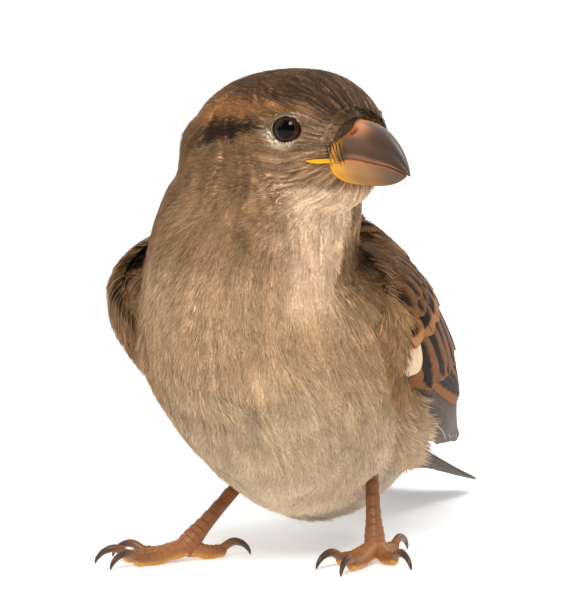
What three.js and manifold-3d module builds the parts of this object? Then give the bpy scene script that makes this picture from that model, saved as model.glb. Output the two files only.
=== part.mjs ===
// House sparrow, adult hen, life size, standing with its head turned to its left.
// Millimetres, +Z up. The bird faces -Y, so its left side is towards +X.
import * as THREE from 'three';
import { LoftGeometry } from 'three/addons/geometries/LoftGeometry.js';
import { mergeVertices } from 'three/addons/utils/BufferGeometryUtils.js';
import Module from 'manifold-3d';

const wasm = await Module();
wasm.setup();

// ---------------------------------------------------------------- driving dimensions
const GAP = 0.3; // clearance left wherever two pieces meet
const SLIVER = 0.03; // detail finer than this, left by a cut, is taken away
const TURN = 2 * Math.PI;

// The trunk and neck, from the tail's root to the top of the neck. Each station is a point on the
// body's middle line with the half width there, and the depth of back and belly across the line.
const BODY = [
  { left: 0, forward: -46, up: 12.3, half: 5, back: 2.6, belly: 2.6 },
  { left: 0, forward: -38, up: 15.6, half: 11, back: 5, belly: 10.6 },
  { left: 0, forward: -27, up: 20.5, half: 15.6, back: 8.4, belly: 19.2 },
  { left: 0, forward: -16.5, up: 26.5, half: 18.6, back: 11.5, belly: 23.2 },
  { left: 0.2, forward: -6.5, up: 33, half: 20.4, back: 13.2, belly: 25 },
  { left: 0.2, forward: 2, up: 39.5, half: 20.6, back: 12.8, belly: 24.8 },
  { left: 0.4, forward: 8.5, up: 46, half: 15.3, back: 12.4, belly: 22.6 },
  { left: 3.2, forward: 12, up: 54, half: 13.3, back: 13, belly: 13 },
  { left: 3.8, forward: 12.4, up: 61, half: 12.8, back: 12.5, belly: 8 },
  { left: 4.2, forward: 12.4, up: 65.5, half: 9.6, back: 9.6, belly: 5 },
];
const KEEL = 0.1; // how much narrower the underside is than a plain ellipse
const BODY_RINGS = 22;
const BODY_SIDES = 32;
const TRUNK_FRONT = 0.69; // share of the body's length where the trunk meets the neck

// The head, in its own frame: along the bill, to the left, and up, from the middle of the skull.
const HEAD = { left: 11.4, forward: 15.0, up: 62.0, turn: 51.8, nod: 1.9, tilt: -1.3 };
const SKULL = [
  { along: -19.2, half: 3.4, up: 2, down: 4.6 },
  { along: -17.6, half: 8.4, up: 4.4, down: 9 },
  { along: -13, half: 11.2, up: 7.6, down: 11.4 },
  { along: -7, half: 11.8, up: 8.8, down: 11.2 },
  { along: -1, half: 10.6, up: 8.9, down: 11 },
  { along: 3.6, half: 8.8, up: 7.6, down: 10.4 },
  { along: 7, half: 7, up: 5.8, down: 9.4 },
  { along: 9.4, half: 5.2, up: 4.2, down: 7.6 },
  { along: 10.6, half: 3, up: 2.6, down: 5 },
];
const EYE = { along: 2.6, side: 5.9, up: 1.2, radius: 2.85 };

// The bill, from the front of the forehead's feathers to the tip.
const BILL = {
  base: 9.6, length: 12.9, rooted: 3.0, half: 4.3, culmen: 5.6, gonys: 3.1, line: -2.4, hook: 0.9,
};

const SKULL_RINGS = 18;
const SKULL_SIDES = 26;
const BILL_RINGS = 12;
const BILL_ARC = 8;

// A folded wing is a shell round the body's side, from its bend at the shoulder to the tip of the
// longest quill. Each station is an upright section: its middle, its reach, and the angles of the
// wing's lower and upper edge seen from there, in degrees above the level.
const WING = [
  { forward: 9, up: 39.6, half: 20.2, back: 11, low: -12, high: 16, thick: 2.6 },
  { forward: 5, up: 37, half: 22.6, back: 13.4, low: -30, high: 34, thick: 4 },
  { forward: -2, up: 34, half: 23.4, back: 15.6, low: -40, high: 46, thick: 5 },
  { forward: -12, up: 29, half: 22.2, back: 17.2, low: -39, high: 60, thick: 5 },
  { forward: -23, up: 23, half: 20.4, back: 14.4, low: -33, high: 74, thick: 4.2 },
  { forward: -34, up: 17.5, half: 17, back: 10, low: -24, high: 76, thick: 3 },
  { forward: -44, up: 13.8, half: 14, back: 6.4, low: -16, high: 60, thick: 1.4 },
  { forward: -51, up: 12, half: 12, back: 5, low: -10, high: 24, thick: 0.9 },
  { forward: -55, up: 11.2, half: 10.8, back: 5, low: -5, high: 4, thick: 0.8 },
];
const WING_STEPS = 22;
const WING_ARC = 7;
const COVERTS_END = 0.36; // shares of the wing's length where its named parts meet
const TERTIALS_END = 0.7;

// The tail: twelve quills laid over each other as a flat wedge, a little arched, that hangs to the floor.
const TAIL = {
  root: { forward: -40, up: 13.6, half: 4.6, thick: 2.6 },
  tip: { forward: -73, up: 1.6, half: 8.6, thick: 1.5 },
  arch: 1.1,
  notch: 2.2,
};
const TAIL_STEPS = 10;
const TAIL_ARC = 8;

// Each leg: where its toes meet, where it enters the belly's feathers, and each toe's heading in degrees
// to the left of straight ahead, with its reach to the claw's point. Toes are numbered as on the living
// bird, the first pointing back.
const LEGS = {
  left: {
    foot: [13.0, -6.0],
    hip: [10.0, -13.0, 16.0],
    toes: [
      { heading: 172, reach: 10.5 },
      { heading: -30, reach: 10.8 },
      { heading: -2, reach: 13.8 },
      { heading: 50, reach: 9.2 },
    ],
  },
  right: {
    foot: [-12.5, 2.8],
    hip: [-5.0, -8.0, 13.5],
    toes: [
      { heading: 138, reach: 10.2 },
      { heading: -34, reach: 12.6 },
      { heading: -60, reach: 12.6 },
      { heading: -88, reach: 10.6 },
    ],
  },
};
const SHANK = { radii: [1.3, 1.0, 1.1, 1.45], knuckle: 1.7, up: 2.1 };
const TOE = { radii: [1.25, 1.1, 1.0, 0.85], sole: 0.9 };
const CLAW = { radii: [0.6, 0.6, 0.48, 0.34, 0.26], reach: 4.2 };

// ---------------------------------------------------------------- shapes and cuts
// A point given as the bird sees it: to its left, forward and up.
const at = (left, forward, up) => new THREE.Vector3(left, -forward, up);

// A closed geometry as a solid that can be cut and joined.
function solid(geometry) {
  const bare = geometry.index ? geometry.toNonIndexed() : geometry.clone();
  bare.deleteAttribute('normal');
  bare.deleteAttribute('uv');
  const merged = mergeVertices(bare, 1e-3);
  return new wasm.Manifold(new wasm.Mesh({
    numProp: 3,
    vertProperties: merged.attributes.position.array,
    triVerts: new Uint32Array(merged.index.array),
  }));
}

// A cut or joined solid as a geometry again.
function geometryOf(shape) {
  const { vertProperties, triVerts, numProp } = shape.getMesh();
  const positions = new Float32Array((vertProperties.length / numProp) * 3);
  for (let i = 0; i < positions.length / 3; i++) {
    positions.set(vertProperties.subarray(i * numProp, i * numProp + 3), i * 3);
  }
  const geometry = new THREE.BufferGeometry();
  geometry.setAttribute('position', new THREE.BufferAttribute(positions, 3));
  geometry.setIndex(new THREE.BufferAttribute(triVerts, 1));
  geometry.computeVertexNormals();
  return geometry;
}

// A smooth run of numbers through the named value of each station, read at a share of the length.
function along(stations, name) {
  const run = new THREE.SplineCurve(stations.map((s, i) => new THREE.Vector2(i, s[name])));
  return (share) => run.getPoint(share).y;
}

// The largest of the pieces that a cut leaves, without its slivers.
const largest = (shape) => shape.simplify(SLIVER).decompose().sort((a, b) => b.volume() - a.volume())[0];

// A ring of points round a centre: one axis to the side, the other with its own reach above and below.
// A keel above 0 draws the lower half in to a narrower underside.
function ring(centre, side, rise, half, above, below, count, keel = 0) {
  return Array.from({ length: count }, (_, i) => {
    const turn = (i / count) * TURN;
    const reach = Math.sin(turn) > 0 ? above : below;
    const narrow = 1 + keel * Math.min(0, Math.sin(turn));
    return centre.clone()
      .addScaledVector(side, half * narrow * Math.cos(turn))
      .addScaledVector(rise, reach * Math.sin(turn));
  });
}

// The middle of a ring of points, and the direction that it faces.
const middleOf = (points) => points
  .reduce((sum, p) => sum.add(p), new THREE.Vector3())
  .divideScalar(points.length);
const facing = (points) => points.reduce(
  (sum, p, i) => sum.add(p.clone().cross(points[(i + 1) % points.length])),
  new THREE.Vector3(),
);

// The solid skinned over rings of points. The rings are turned to face along the run, as a loft needs.
function skinned(rings) {
  const run = middleOf(rings[1]).sub(middleOf(rings[0]));
  const turned = facing(rings[0]).dot(run) > 0 ? rings : rings.map((points) => [...points].reverse());
  return solid(new LoftGeometry(turned, { capStart: true, capEnd: true }));
}

// A limb: round sections of the given radii along a smooth line, each section keeping one axis level.
function limb(points, radii, steps, sides, grow = 0) {
  const line = new THREE.CatmullRomCurve3(points);
  const width = new THREE.SplineCurve(radii.map((r, i) => new THREE.Vector2(i, r)));
  const rings = Array.from({ length: steps + 1 }, (_, i) => {
    const share = i / steps;
    const onward = line.getTangent(share);
    const side = new THREE.Vector3(0, 0, 1).cross(onward).normalize();
    const rise = onward.clone().cross(side);
    const radius = width.getPoint(share).y + grow;
    return ring(line.getPoint(share), side, rise, radius, radius, radius, sides);
  });
  return skinned(rings);
}

// The part of a solid above the floor, which leaves a small flat where it rested lower.
const onFloor = (shape) => shape.trimByPlane([0, 0, 1], 0);

// ---------------------------------------------------------------- trunk and neck
const bodyLine = new THREE.CatmullRomCurve3(BODY.map((s) => at(s.left, s.forward, s.up)));
const bodyHalf = along(BODY, 'half');
const bodyBack = along(BODY, 'back');
const bodyBelly = along(BODY, 'belly');

// One section of the body, square to its middle line, made larger all round by grow.
function bodyRing(share, grow) {
  const onward = bodyLine.getTangent(share);
  const side = new THREE.Vector3(1, 0, 0).projectOnPlane(onward).normalize();
  const rise = onward.clone().cross(side).normalize();
  return ring(
    bodyLine.getPoint(share), side, rise,
    bodyHalf(share) + grow, bodyBack(share) + grow, bodyBelly(share) + grow, BODY_SIDES, KEEL,
  );
}

// The body from the tail's root to the top of the neck, made larger all round by grow.
function body(grow = 0) {
  const shares = Array.from({ length: BODY_RINGS + 1 }, (_, i) => i / BODY_RINGS);
  return skinned(shares.map((share) => bodyRing(share, grow)));
}

// A thin cut square to the middle line parts the neck from the trunk.
const cutNormal = bodyLine.getTangent(TRUNK_FRONT);
const cutAt = cutNormal.dot(bodyLine.getPoint(TRUNK_FRONT));
const bodyWhole = body();
const bodyGrown = body(GAP);
const trunk = bodyWhole.trimByPlane(cutNormal.clone().negate().toArray(), -cutAt + GAP / 2);
const neckWhole = bodyWhole.trimByPlane(cutNormal.toArray(), cutAt + GAP / 2);

// ---------------------------------------------------------------- head
const turn = THREE.MathUtils.degToRad(HEAD.turn);
const nod = THREE.MathUtils.degToRad(HEAD.nod);
const faceForward = at(Math.sin(turn) * Math.cos(nod), Math.cos(turn) * Math.cos(nod), -Math.sin(nod));
const faceLeft = at(Math.cos(turn), -Math.sin(turn), 0)
  .applyAxisAngle(faceForward, THREE.MathUtils.degToRad(HEAD.tilt));
const faceUp = faceForward.clone().cross(faceLeft);
const headPlace = new THREE.Matrix4()
  .makeBasis(faceForward, faceLeft, faceUp)
  .setPosition(at(HEAD.left, HEAD.forward, HEAD.up));

// The skull with its feathers, in the head's own frame.
function skull(grow) {
  const place = along(SKULL, 'along');
  const half = along(SKULL, 'half');
  const up = along(SKULL, 'up');
  const down = along(SKULL, 'down');
  const rings = Array.from({ length: SKULL_RINGS + 1 }, (_, i) => {
    const share = i / SKULL_RINGS;
    return ring(
      new THREE.Vector3(place(share), 0, 0), new THREE.Vector3(0, 1, 0), new THREE.Vector3(0, 0, 1),
      half(share) + grow, up(share) + grow, down(share) + grow, SKULL_SIDES,
    );
  });
  return skinned(rings);
}

// One half of the bill: a domed section over a flat, narrowing from the root to the tip.
// side is 1 for the upper half and -1 for the lower. Both run on a little way into the head.
function mandible(side, grow = 0) {
  const length = side > 0 ? BILL.length : BILL.length - BILL.hook;
  const depth = side > 0 ? BILL.culmen : BILL.gonys;
  const bow = side > 0 ? 2.2 : 3.0; // a larger bow keeps the depth for longer before the tip
  const rings = Array.from({ length: BILL_RINGS + 1 }, (_, i) => {
    const out = -BILL.rooted + ((length + BILL.rooted) * i) / BILL_RINGS;
    const share = Math.min(0.995, Math.max(0, out / length));
    const half = BILL.half * (1 - share ** 1.35) ** 0.9 + grow;
    const height = depth * (1 - share ** bow) ** 0.9 + 2 * grow;
    const line = BILL.line - BILL.hook * share ** 3 + side * (GAP / 2 - grow);
    return Array.from({ length: BILL_ARC + 1 }, (_, k) => {
      const lean = (Math.PI * k) / BILL_ARC;
      return new THREE.Vector3(
        BILL.base + out,
        half * Math.cos(lean),
        line + side * height * Math.sin(lean) ** 0.9,
      );
    });
  });
  return skinned(rings);
}

// An eyeball on one side of the head.
function eyeball(side, grow = 0) {
  const ball = new THREE.SphereGeometry(EYE.radius + grow, 16, 10);
  ball.translate(EYE.along, side * EYE.side, EYE.up);
  return solid(ball);
}

const head = skull(0)
  .subtract(mandible(1, GAP))
  .subtract(mandible(-1, GAP))
  .subtract(eyeball(1, GAP))
  .subtract(eyeball(-1, GAP));
const skullInPlace = skull(GAP).transform(headPlace.elements);
const neck = neckWhole.subtract(skullInPlace);

// ---------------------------------------------------------------- wings
// The wing between two shares of its length. side is 1 for the left wing and -1 for the right.
function wing(side, from, to) {
  const read = Object.fromEntries(Object.keys(WING[0]).map((name) => [name, along(WING, name)]));
  const steps = Math.round(WING_STEPS * (to - from));
  const rings = Array.from({ length: steps + 1 }, (_, i) => {
    const share = from + ((to - from) * i) / steps;
    const low = THREE.MathUtils.degToRad(read.low(share));
    const high = THREE.MathUtils.degToRad(read.high(share));
    const point = (k, depth) => {
      const rise = low + ((high - low) * k) / WING_ARC;
      return at(
        side * (read.half(share) - depth) * Math.cos(rise),
        read.forward(share),
        read.up(share) + (read.back(share) - depth) * Math.sin(rise),
      );
    };
    const outer = Array.from({ length: WING_ARC + 1 }, (_, k) => point(k, 0));
    const inner = Array.from({ length: WING_ARC + 1 }, (_, k) => point(WING_ARC - k, read.thick(share)));
    return [...outer, ...inner];
  });
  return skinned(rings);
}

// The three named parts of one wing, a gap apart, each fitted over the body.
const wingEnd = (station) => at(0, station.forward, station.up);
const wingGap = GAP / wingEnd(WING[0]).distanceTo(wingEnd(WING.at(-1)));
function wingParts(side) {
  const fitted = (from, to) => wing(side, from, to).subtract(bodyGrown).subtract(skullInPlace);
  return {
    coverts: fitted(0, COVERTS_END),
    tertials: fitted(COVERTS_END + wingGap, TERTIALS_END),
    primaries: fitted(TERTIALS_END + wingGap, 1),
  };
}

// ---------------------------------------------------------------- tail
function tail() {
  const { root, tip, arch, notch } = TAIL;
  const rings = Array.from({ length: TAIL_STEPS + 1 }, (_, i) => {
    const share = i / TAIL_STEPS;
    const half = THREE.MathUtils.lerp(root.half, tip.half, share ** 0.8);
    const forward = THREE.MathUtils.lerp(root.forward, tip.forward, share);
    const up = THREE.MathUtils.lerp(root.up, tip.up, share ** 0.9);
    const thick = THREE.MathUtils.lerp(root.thick, tip.thick, share ** 0.5);
    const point = (k, lift) => {
      const out = (2 * k) / TAIL_ARC - 1;
      const drawnIn = share === 1 ? notch * (1 - Math.abs(out)) : 0;
      return at(half * out, forward + drawnIn, up + lift + arch * (1 - out * out));
    };
    const top = Array.from({ length: TAIL_ARC + 1 }, (_, k) => point(k, thick / 2));
    const under = Array.from({ length: TAIL_ARC + 1 }, (_, k) => point(TAIL_ARC - k, -thick / 2));
    return [...top, ...under];
  });
  return skinned(rings).subtract(bodyGrown);
}

// ---------------------------------------------------------------- legs
// A point over the floor, a given way out from the foot's middle along a heading.
function outward([left, forward], heading, reach, up) {
  const angle = THREE.MathUtils.degToRad(heading);
  return at(left + reach * Math.sin(angle), forward + reach * Math.cos(angle), up);
}

// A toe comes down from the foot's middle and lies on the floor, up to where its claw springs.
function toe(foot, { heading, reach }, grow = 0) {
  const length = reach - CLAW.reach;
  const stations = [[0.9, 1.9], [0.3 * length, 1.5], [0.62 * length, TOE.sole], [length, TOE.sole + 0.1]];
  const points = stations.map(([out, up]) => outward(foot, heading, out, up));
  return limb(points, TOE.radii, 8, 8, grow);
}

// A claw springs from the toe's end, arches over and comes down to its point on the floor.
function claw(foot, { heading, reach }) {
  const start = reach - CLAW.reach + GAP;
  const stations = [[-0.1, 1.4], [1.3, 2.1], [2.9, 1.8], [3.9, 0.9], [CLAW.reach, 0.2]];
  const points = stations.map(([out, up]) => outward(foot, heading, start + out, up));
  return limb(points, CLAW.radii, 8, 7);
}

// The bare shank, from the belly's feathers down to the round knuckle where the toes meet.
function shank(foot, hip, grow) {
  const joint = outward(foot, 0, 0, SHANK.up);
  const top = at(...hip);
  const ball = new THREE.SphereGeometry(SHANK.knuckle + grow, 12, 8);
  ball.translate(joint.x, joint.y, joint.z);
  const points = [top, top.clone().lerp(joint, 0.5), top.clone().lerp(joint, 0.8), joint];
  return limb(points, SHANK.radii, 8, 10, grow).add(solid(ball));
}

// One leg's pieces. Each toe is cut by those that are already in place, the middle one first.
function leg(name, { foot, hip, toes }) {
  const pieces = { [`tarsus_${name}`]: onFloor(shank(foot, hip, 0)).subtract(bodyGrown) };
  let taken = shank(foot, hip, GAP);
  [2, 1, 3, 0].forEach((i) => {
    pieces[`toe_${i + 1}_${name}`] = onFloor(toe(foot, toes[i])).subtract(taken);
    taken = taken.add(toe(foot, toes[i], GAP));
  });
  toes.forEach((each, i) => {
    pieces[`claw_${i + 1}_${name}`] = onFloor(claw(foot, each)).subtract(taken);
  });
  return pieces;
}

// ---------------------------------------------------------------- finishes and the whole bird
const finish = (color, roughness) => new THREE.MeshStandardMaterial({ color, roughness, metalness: 0 });
const plumage = finish(0xa68a6c, 0.85);
const quill = finish(0x6f5644, 0.7);
const horn = finish(0x8f6a4e, 0.45);
const scale = finish(0x8a5a35, 0.6);
const nail = finish(0x54382a, 0.4);
const eye = finish(0x140c08, 0.1);

const sparrow = new THREE.Group();

// Stands a shape in the bird as a named mesh. It is read back once as the mesh that it becomes, so
// that a flap which hung on by a single point is dropped too.
function stand(name, shape, material, holder = sparrow) {
  const readBack = solid(geometryOf(largest(shape)));
  const mesh = new THREE.Mesh(geometryOf(largest(readBack)), material);
  mesh.name = name;
  holder.add(mesh);
}

const face = new THREE.Group();
face.applyMatrix4(headPlace);
sparrow.add(face);
stand('head', head, plumage, face);
stand('bill_upper', mandible(1), horn, face);
stand('bill_lower', mandible(-1), horn, face);
stand('eye_left', eyeball(1), eye, face);
stand('eye_right', eyeball(-1), eye, face);
stand('neck', neck, plumage);
stand('trunk', trunk, plumage);
stand('tail', tail(), quill);
for (const [name, side] of [['left', 1], ['right', -1]]) {
  for (const [region, shape] of Object.entries(wingParts(side))) {
    stand(`wing_${name}_${region}`, shape, quill);
  }
  for (const [piece, shape] of Object.entries(leg(name, LEGS[name]))) {
    stand(piece, shape, piece.startsWith('claw') ? nail : scale);
  }
}

// The origin lies under the middle of the bird's whole length and width, on the floor.
const extent = new THREE.Box3().setFromObject(sparrow, true);
const middle = extent.getCenter(new THREE.Vector3());
sparrow.position.set(-middle.x, -middle.y, -extent.min.z);

export default sparrow;
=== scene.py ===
import bpy
import numpy as np
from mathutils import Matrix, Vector
from mathutils.bvhtree import BVHTree
from mathutils.kdtree import KDTree


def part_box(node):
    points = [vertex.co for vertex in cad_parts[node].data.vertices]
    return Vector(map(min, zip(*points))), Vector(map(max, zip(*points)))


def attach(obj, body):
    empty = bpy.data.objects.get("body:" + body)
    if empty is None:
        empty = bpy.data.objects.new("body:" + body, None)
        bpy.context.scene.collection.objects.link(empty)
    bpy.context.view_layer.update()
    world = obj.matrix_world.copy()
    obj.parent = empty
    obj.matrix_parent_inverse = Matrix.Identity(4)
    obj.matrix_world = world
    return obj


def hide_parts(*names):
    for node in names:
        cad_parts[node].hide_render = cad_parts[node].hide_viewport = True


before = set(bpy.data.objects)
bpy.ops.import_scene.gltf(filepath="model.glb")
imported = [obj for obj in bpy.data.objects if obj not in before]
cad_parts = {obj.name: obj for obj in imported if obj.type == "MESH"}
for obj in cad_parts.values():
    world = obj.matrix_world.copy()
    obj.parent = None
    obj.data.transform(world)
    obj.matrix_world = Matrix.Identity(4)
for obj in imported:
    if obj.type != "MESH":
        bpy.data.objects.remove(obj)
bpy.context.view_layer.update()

# ---------------------------------------------------------------- how the bird stands
# A house sparrow hen stands square on both feet and looks to its left. Sizes are in millimetres,
# given as the bird sees them: to its left, forward and up. The eyeballs of the frame fix its place.


def at(left, forward, up):
    """Points given to the bird's left, forward and up: x is left, y is minus forward, z is up."""
    return np.stack(np.broadcast_arrays(left, -np.asarray(forward, float), up), -1).astype(float)


def unit(vectors):
    """Each vector divided by its own length."""
    return vectors / np.maximum(np.linalg.norm(vectors, axis=-1, keepdims=True), 1e-9)


TURN, NOD, TILT = np.radians([51.8, 1.9, -1.3])
SKULL_MIDDLE = at(11.4, 15.0, 62.0)
BILLWARD = at(np.sin(TURN) * np.cos(NOD), np.cos(TURN) * np.cos(NOD), -np.sin(NOD))
LEVEL = at(np.cos(TURN), -np.sin(TURN), 0)
HEAD_LEFT = LEVEL * np.cos(TILT) + np.cross(BILLWARD, LEVEL) * np.sin(TILT)
HEAD_UP = np.cross(BILLWARD, HEAD_LEFT)
HEAD_AXES = np.stack([BILLWARD, HEAD_LEFT, HEAD_UP])
EYE = {"along": 2.6, "side": 5.9, "up": 1.2, "radius": 2.85}
SIDES = {"left": 1, "right": -1}

eye_corners = [np.array(corner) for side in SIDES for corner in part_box(f"eye_{side}")]
eye_middle = np.mean(eye_corners, axis=0) * 1000
ORIGIN = eye_middle - SKULL_MIDDLE - EYE["along"] * BILLWARD - EYE["up"] * HEAD_UP


def on_head(points):
    """Points as the head has them: along the bill, to the head's left, and up from its middle."""
    return (points - SKULL_MIDDLE) @ HEAD_AXES.T


def from_head(along, side, up):
    """The reverse of on_head: a point from its distances along the bill, to the left and up."""
    places = np.stack(np.broadcast_arrays(along, side, up), -1).astype(float)
    return places @ HEAD_AXES + SKULL_MIDDLE


def from_skull(points):
    """How far each point is from the middle of the skull."""
    return np.linalg.norm(points - SKULL_MIDDLE, axis=1)


# ---------------------------------------------------------------- skin
# One skin runs over skull, neck, trunk and the fleshy fore part of both wings. Each is a loft of
# oval sections; they are closed into one surface, relaxed, and drawn in by the depth of the coat.
BODY = np.array([  # left, forward, up, half width, depth of back, depth of belly
    (0, -46, 12.3, 5, 2.6, 2.6), (0, -38, 15.6, 11, 5, 10.6), (0, -27, 20.5, 15.6, 8.4, 19.2),
    (0, -16.5, 26.5, 18.6, 11.5, 23.2), (0.2, -6.5, 33, 20.4, 13.2, 25), (0.2, 2, 39.5, 20.6, 12.8, 24.8),
    (0.4, 8.5, 46, 15.3, 12.4, 22.6), (3.2, 12, 54, 13.3, 13, 13), (3.8, 12.4, 61, 12.8, 12.5, 8),
    (4.2, 12.4, 65.5, 9.6, 9.6, 5),
])
KEEL = 0.1
SKULL = np.array([  # along the bill, half width, height of crown, depth of throat
    (-19.2, 3.4, 2, 4.6), (-17.6, 8.4, 4.4, 9), (-13, 11.2, 7.6, 11.4),
    (-7, 11.8, 8.8, 11.2), (-1, 10.6, 8.9, 11), (3.6, 8.8, 7.6, 10.4),
    (7, 7, 5.8, 9.4), (9.4, 5.2, 4.2, 7.6), (10.6, 3, 2.6, 5),
])
WING = np.array([  # forward, up, half width, rise over it, lower edge, upper edge in degrees, thickness
    (9, 39.6, 20.2, 11, -12, 16, 2.6), (5, 37, 22.6, 13.4, -30, 34, 4), (-2, 34, 23.4, 15.6, -40, 46, 5),
    (-12, 29, 22.2, 17.2, -39, 60, 5), (-23, 23, 20.4, 14.4, -33, 74, 4.2), (-34, 17.5, 17, 10, -24, 76, 3),
    (-44, 13.8, 14, 6.4, -16, 60, 1.4), (-51, 12, 12, 5, -10, 24, 0.9), (-55, 11.2, 10.8, 5, -5, 4, 0.8),
])
ARM_SHARE, ARM_DEPTH = 0.42, 0.3
SKIN_VOXEL, SKIN_RELAX = 0.6, 14
NO_TRIANGLES = np.zeros((0, 3), int)


def spline(stations, share):
    """A Catmull-Rom run through evenly spaced stations, read at shares 0 to 1 of its length."""
    stations = np.asarray(stations, float)
    last = len(stations) - 1
    place = np.clip(np.asarray(share, float), 0, 1) * last
    i = np.minimum(place.astype(int), last - 1)
    t = (place - i)[..., None]
    before, here = stations[np.maximum(i - 1, 0)], stations[i]
    after, beyond = stations[i + 1], stations[np.minimum(i + 2, last)]
    out, back = (after - before) / 2, (beyond - here) / 2
    return ((2 * here - 2 * after + out + back) * t**3
            + (3 * after - 3 * here - 2 * out - back) * t**2 + out * t + here)


def grid_faces(rows, columns, closed=True):
    """Four-cornered faces between the rows of a grid of points; closed joins the last column to the first."""
    across = np.arange(columns if closed else columns - 1)
    row, column = np.meshgrid(np.arange(rows - 1), across, indexing="ij")
    beside = (column + 1) % columns
    corners = [row * columns + column, row * columns + beside,
               (row + 1) * columns + beside, (row + 1) * columns + column]
    return np.stack(corners, -1).reshape(-1, 4)


def once_round(count):
    """Even turns round a circle, in radians."""
    return np.linspace(0, 2 * np.pi, count, endpoint=False)


def joined(parts):
    """Several parts of points, quads and triangles as one, their corners counted on."""
    starts = np.cumsum([0] + [len(part[0]) for part in parts])
    quads, threes = [np.concatenate([part[k] + start for part, start in zip(parts, starts)])
                     for k in (1, 2)]
    return np.concatenate([part[0] for part in parts]), [quads, threes]


def body_surface(share, turn):
    """A point of the trunk or neck: the middle line's point, plus the half width times the cosine to the
    side, plus the depth of back or belly times the sine across the line; the keel narrows the underside."""
    run = spline(BODY, share)
    ahead, behind = np.minimum(share + 0.01, 1), np.maximum(share - 0.01, 0)
    onward = at(*np.moveaxis(unit(spline(BODY[:, :3], ahead) - spline(BODY[:, :3], behind)), -1, 0))
    side = unit(at(1, 0, 0) - onward * onward[..., :1])
    rise = np.cross(onward, side)
    sine = np.sin(turn)
    reach = np.where(sine > 0, run[..., 4], run[..., 5])
    half = run[..., 3] * (1 + KEEL * np.minimum(0, sine))
    middle = at(run[..., 0], run[..., 1], run[..., 2])
    return middle + side * (half * np.cos(turn))[..., None] + rise * (reach * sine)[..., None]


def skull_surface(share, turn):
    """A point of the head with its feathers: an oval section across the bill's line at each share."""
    run = spline(SKULL, share)
    sine = np.sin(turn)
    reach = np.where(sine > 0, run[..., 2], run[..., 3])
    return from_head(run[..., 0], run[..., 1] * np.cos(turn), reach * sine)


def wing_surface(side, share, edge, depth=0.0):
    """A point of the folded wing's outside, or depth within it: share runs from the bend to the tip,
    and edge from 0 at the lower edge to 1 at the upper, by the angle round the section's middle."""
    run = spline(WING, share)
    angle = np.radians(run[..., 4] + (run[..., 5] - run[..., 4]) * edge)
    return at(side * (run[..., 2] - depth) * np.cos(angle), run[..., 0],
              run[..., 1] + (run[..., 3] - depth) * np.sin(angle))


def loft(surface, rows, columns):
    """A closed loft: the grid of a surface over shares and turns, its two ends closed to their middles."""
    share, turn = np.meshgrid(np.linspace(0, 1, rows), once_round(columns), indexing="ij")
    points = surface(share, turn).reshape(-1, 3)
    ends = np.stack([points[:columns].mean(0), points[-columns:].mean(0)])
    ring, last = np.arange(columns), len(points) - columns
    first = np.stack([np.full(columns, len(points)), np.roll(ring, -1), ring], -1)
    final = np.stack([np.full(columns, len(points) + 1), ring + last, np.roll(ring, -1) + last], -1)
    return np.concatenate([points, ends]), grid_faces(rows, columns), np.concatenate([first, final])


def arm_surface(side):
    """The fleshy fore part of one wing: its outside over half a turn and its inside over the other."""
    def surface(share, turn):
        outside = turn < np.pi
        edge = np.where(outside, turn / np.pi, 2 - turn / np.pi)
        thick = spline(WING, share * ARM_SHARE)[..., 6]
        return wing_surface(side, share * ARM_SHARE, edge, np.where(outside, ARM_DEPTH, thick))
    return surface


def relaxed_skin():
    """The lofts of skull, body and both arms closed into one surface and relaxed: its points and faces."""
    points, (quads, ends) = joined([loft(skull_surface, 40, 48), loft(body_surface, 64, 64),
                                    loft(arm_surface(1), 30, 32), loft(arm_surface(-1), 30, 32)])
    mesh = bpy.data.meshes.new("flesh")
    mesh.from_pydata(points.tolist(), [], quads.tolist() + ends.tolist())
    flesh = bpy.data.objects.new("flesh", mesh)
    bpy.context.scene.collection.objects.link(flesh)
    closed = flesh.modifiers.new("closed", "REMESH")
    closed.mode, closed.voxel_size, closed.use_smooth_shade = "VOXEL", SKIN_VOXEL, True
    relaxed = flesh.modifiers.new("relaxed", "SMOOTH")
    relaxed.factor, relaxed.iterations = 0.5, SKIN_RELAX
    shaped = flesh.evaluated_get(bpy.context.evaluated_depsgraph_get()).to_mesh()
    points = np.empty(len(shaped.vertices) * 3, np.float32)
    shaped.vertices.foreach_get("co", points)
    corners = np.empty(len(shaped.loops), np.int32)
    shaped.loops.foreach_get("vertex_index", corners)
    points = points.reshape(-1, 3).astype(float)
    bpy.data.objects.remove(flesh)
    return points, corners.reshape(-1, 4)


def point_normals(points, faces):
    """The outward direction at each point: the sum of the cross products of its faces' diagonals."""
    across = np.cross(points[faces[:, 2]] - points[faces[:, 0]], points[faces[:, 3]] - points[faces[:, 1]])
    total = [np.bincount(faces.ravel(), np.repeat(across[:, k], 4), len(points)) for k in range(3)]
    return unit(np.stack(total, -1))


skin_points, skin_faces = relaxed_skin()
skin_normals = point_normals(skin_points, skin_faces)
BODY_STEPS = 80
body_line = at(*spline(BODY[:, :3], np.linspace(0, 1, BODY_STEPS)).T)
middle_line = np.concatenate([body_line, from_head(np.linspace(-8, 10, 16), 0, 0)])
middle_lengths = np.append(0, np.cumsum(np.linalg.norm(np.diff(middle_line, axis=0), axis=1)))


def nearest_on_line(points):
    """For each point, the index of the nearest point of the bird's middle line."""
    found = [((part[:, None] - middle_line[None]) ** 2).sum(-1).argmin(1)
             for part in np.array_split(points, len(points) // 20000 + 1)]
    return np.concatenate(found)


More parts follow.
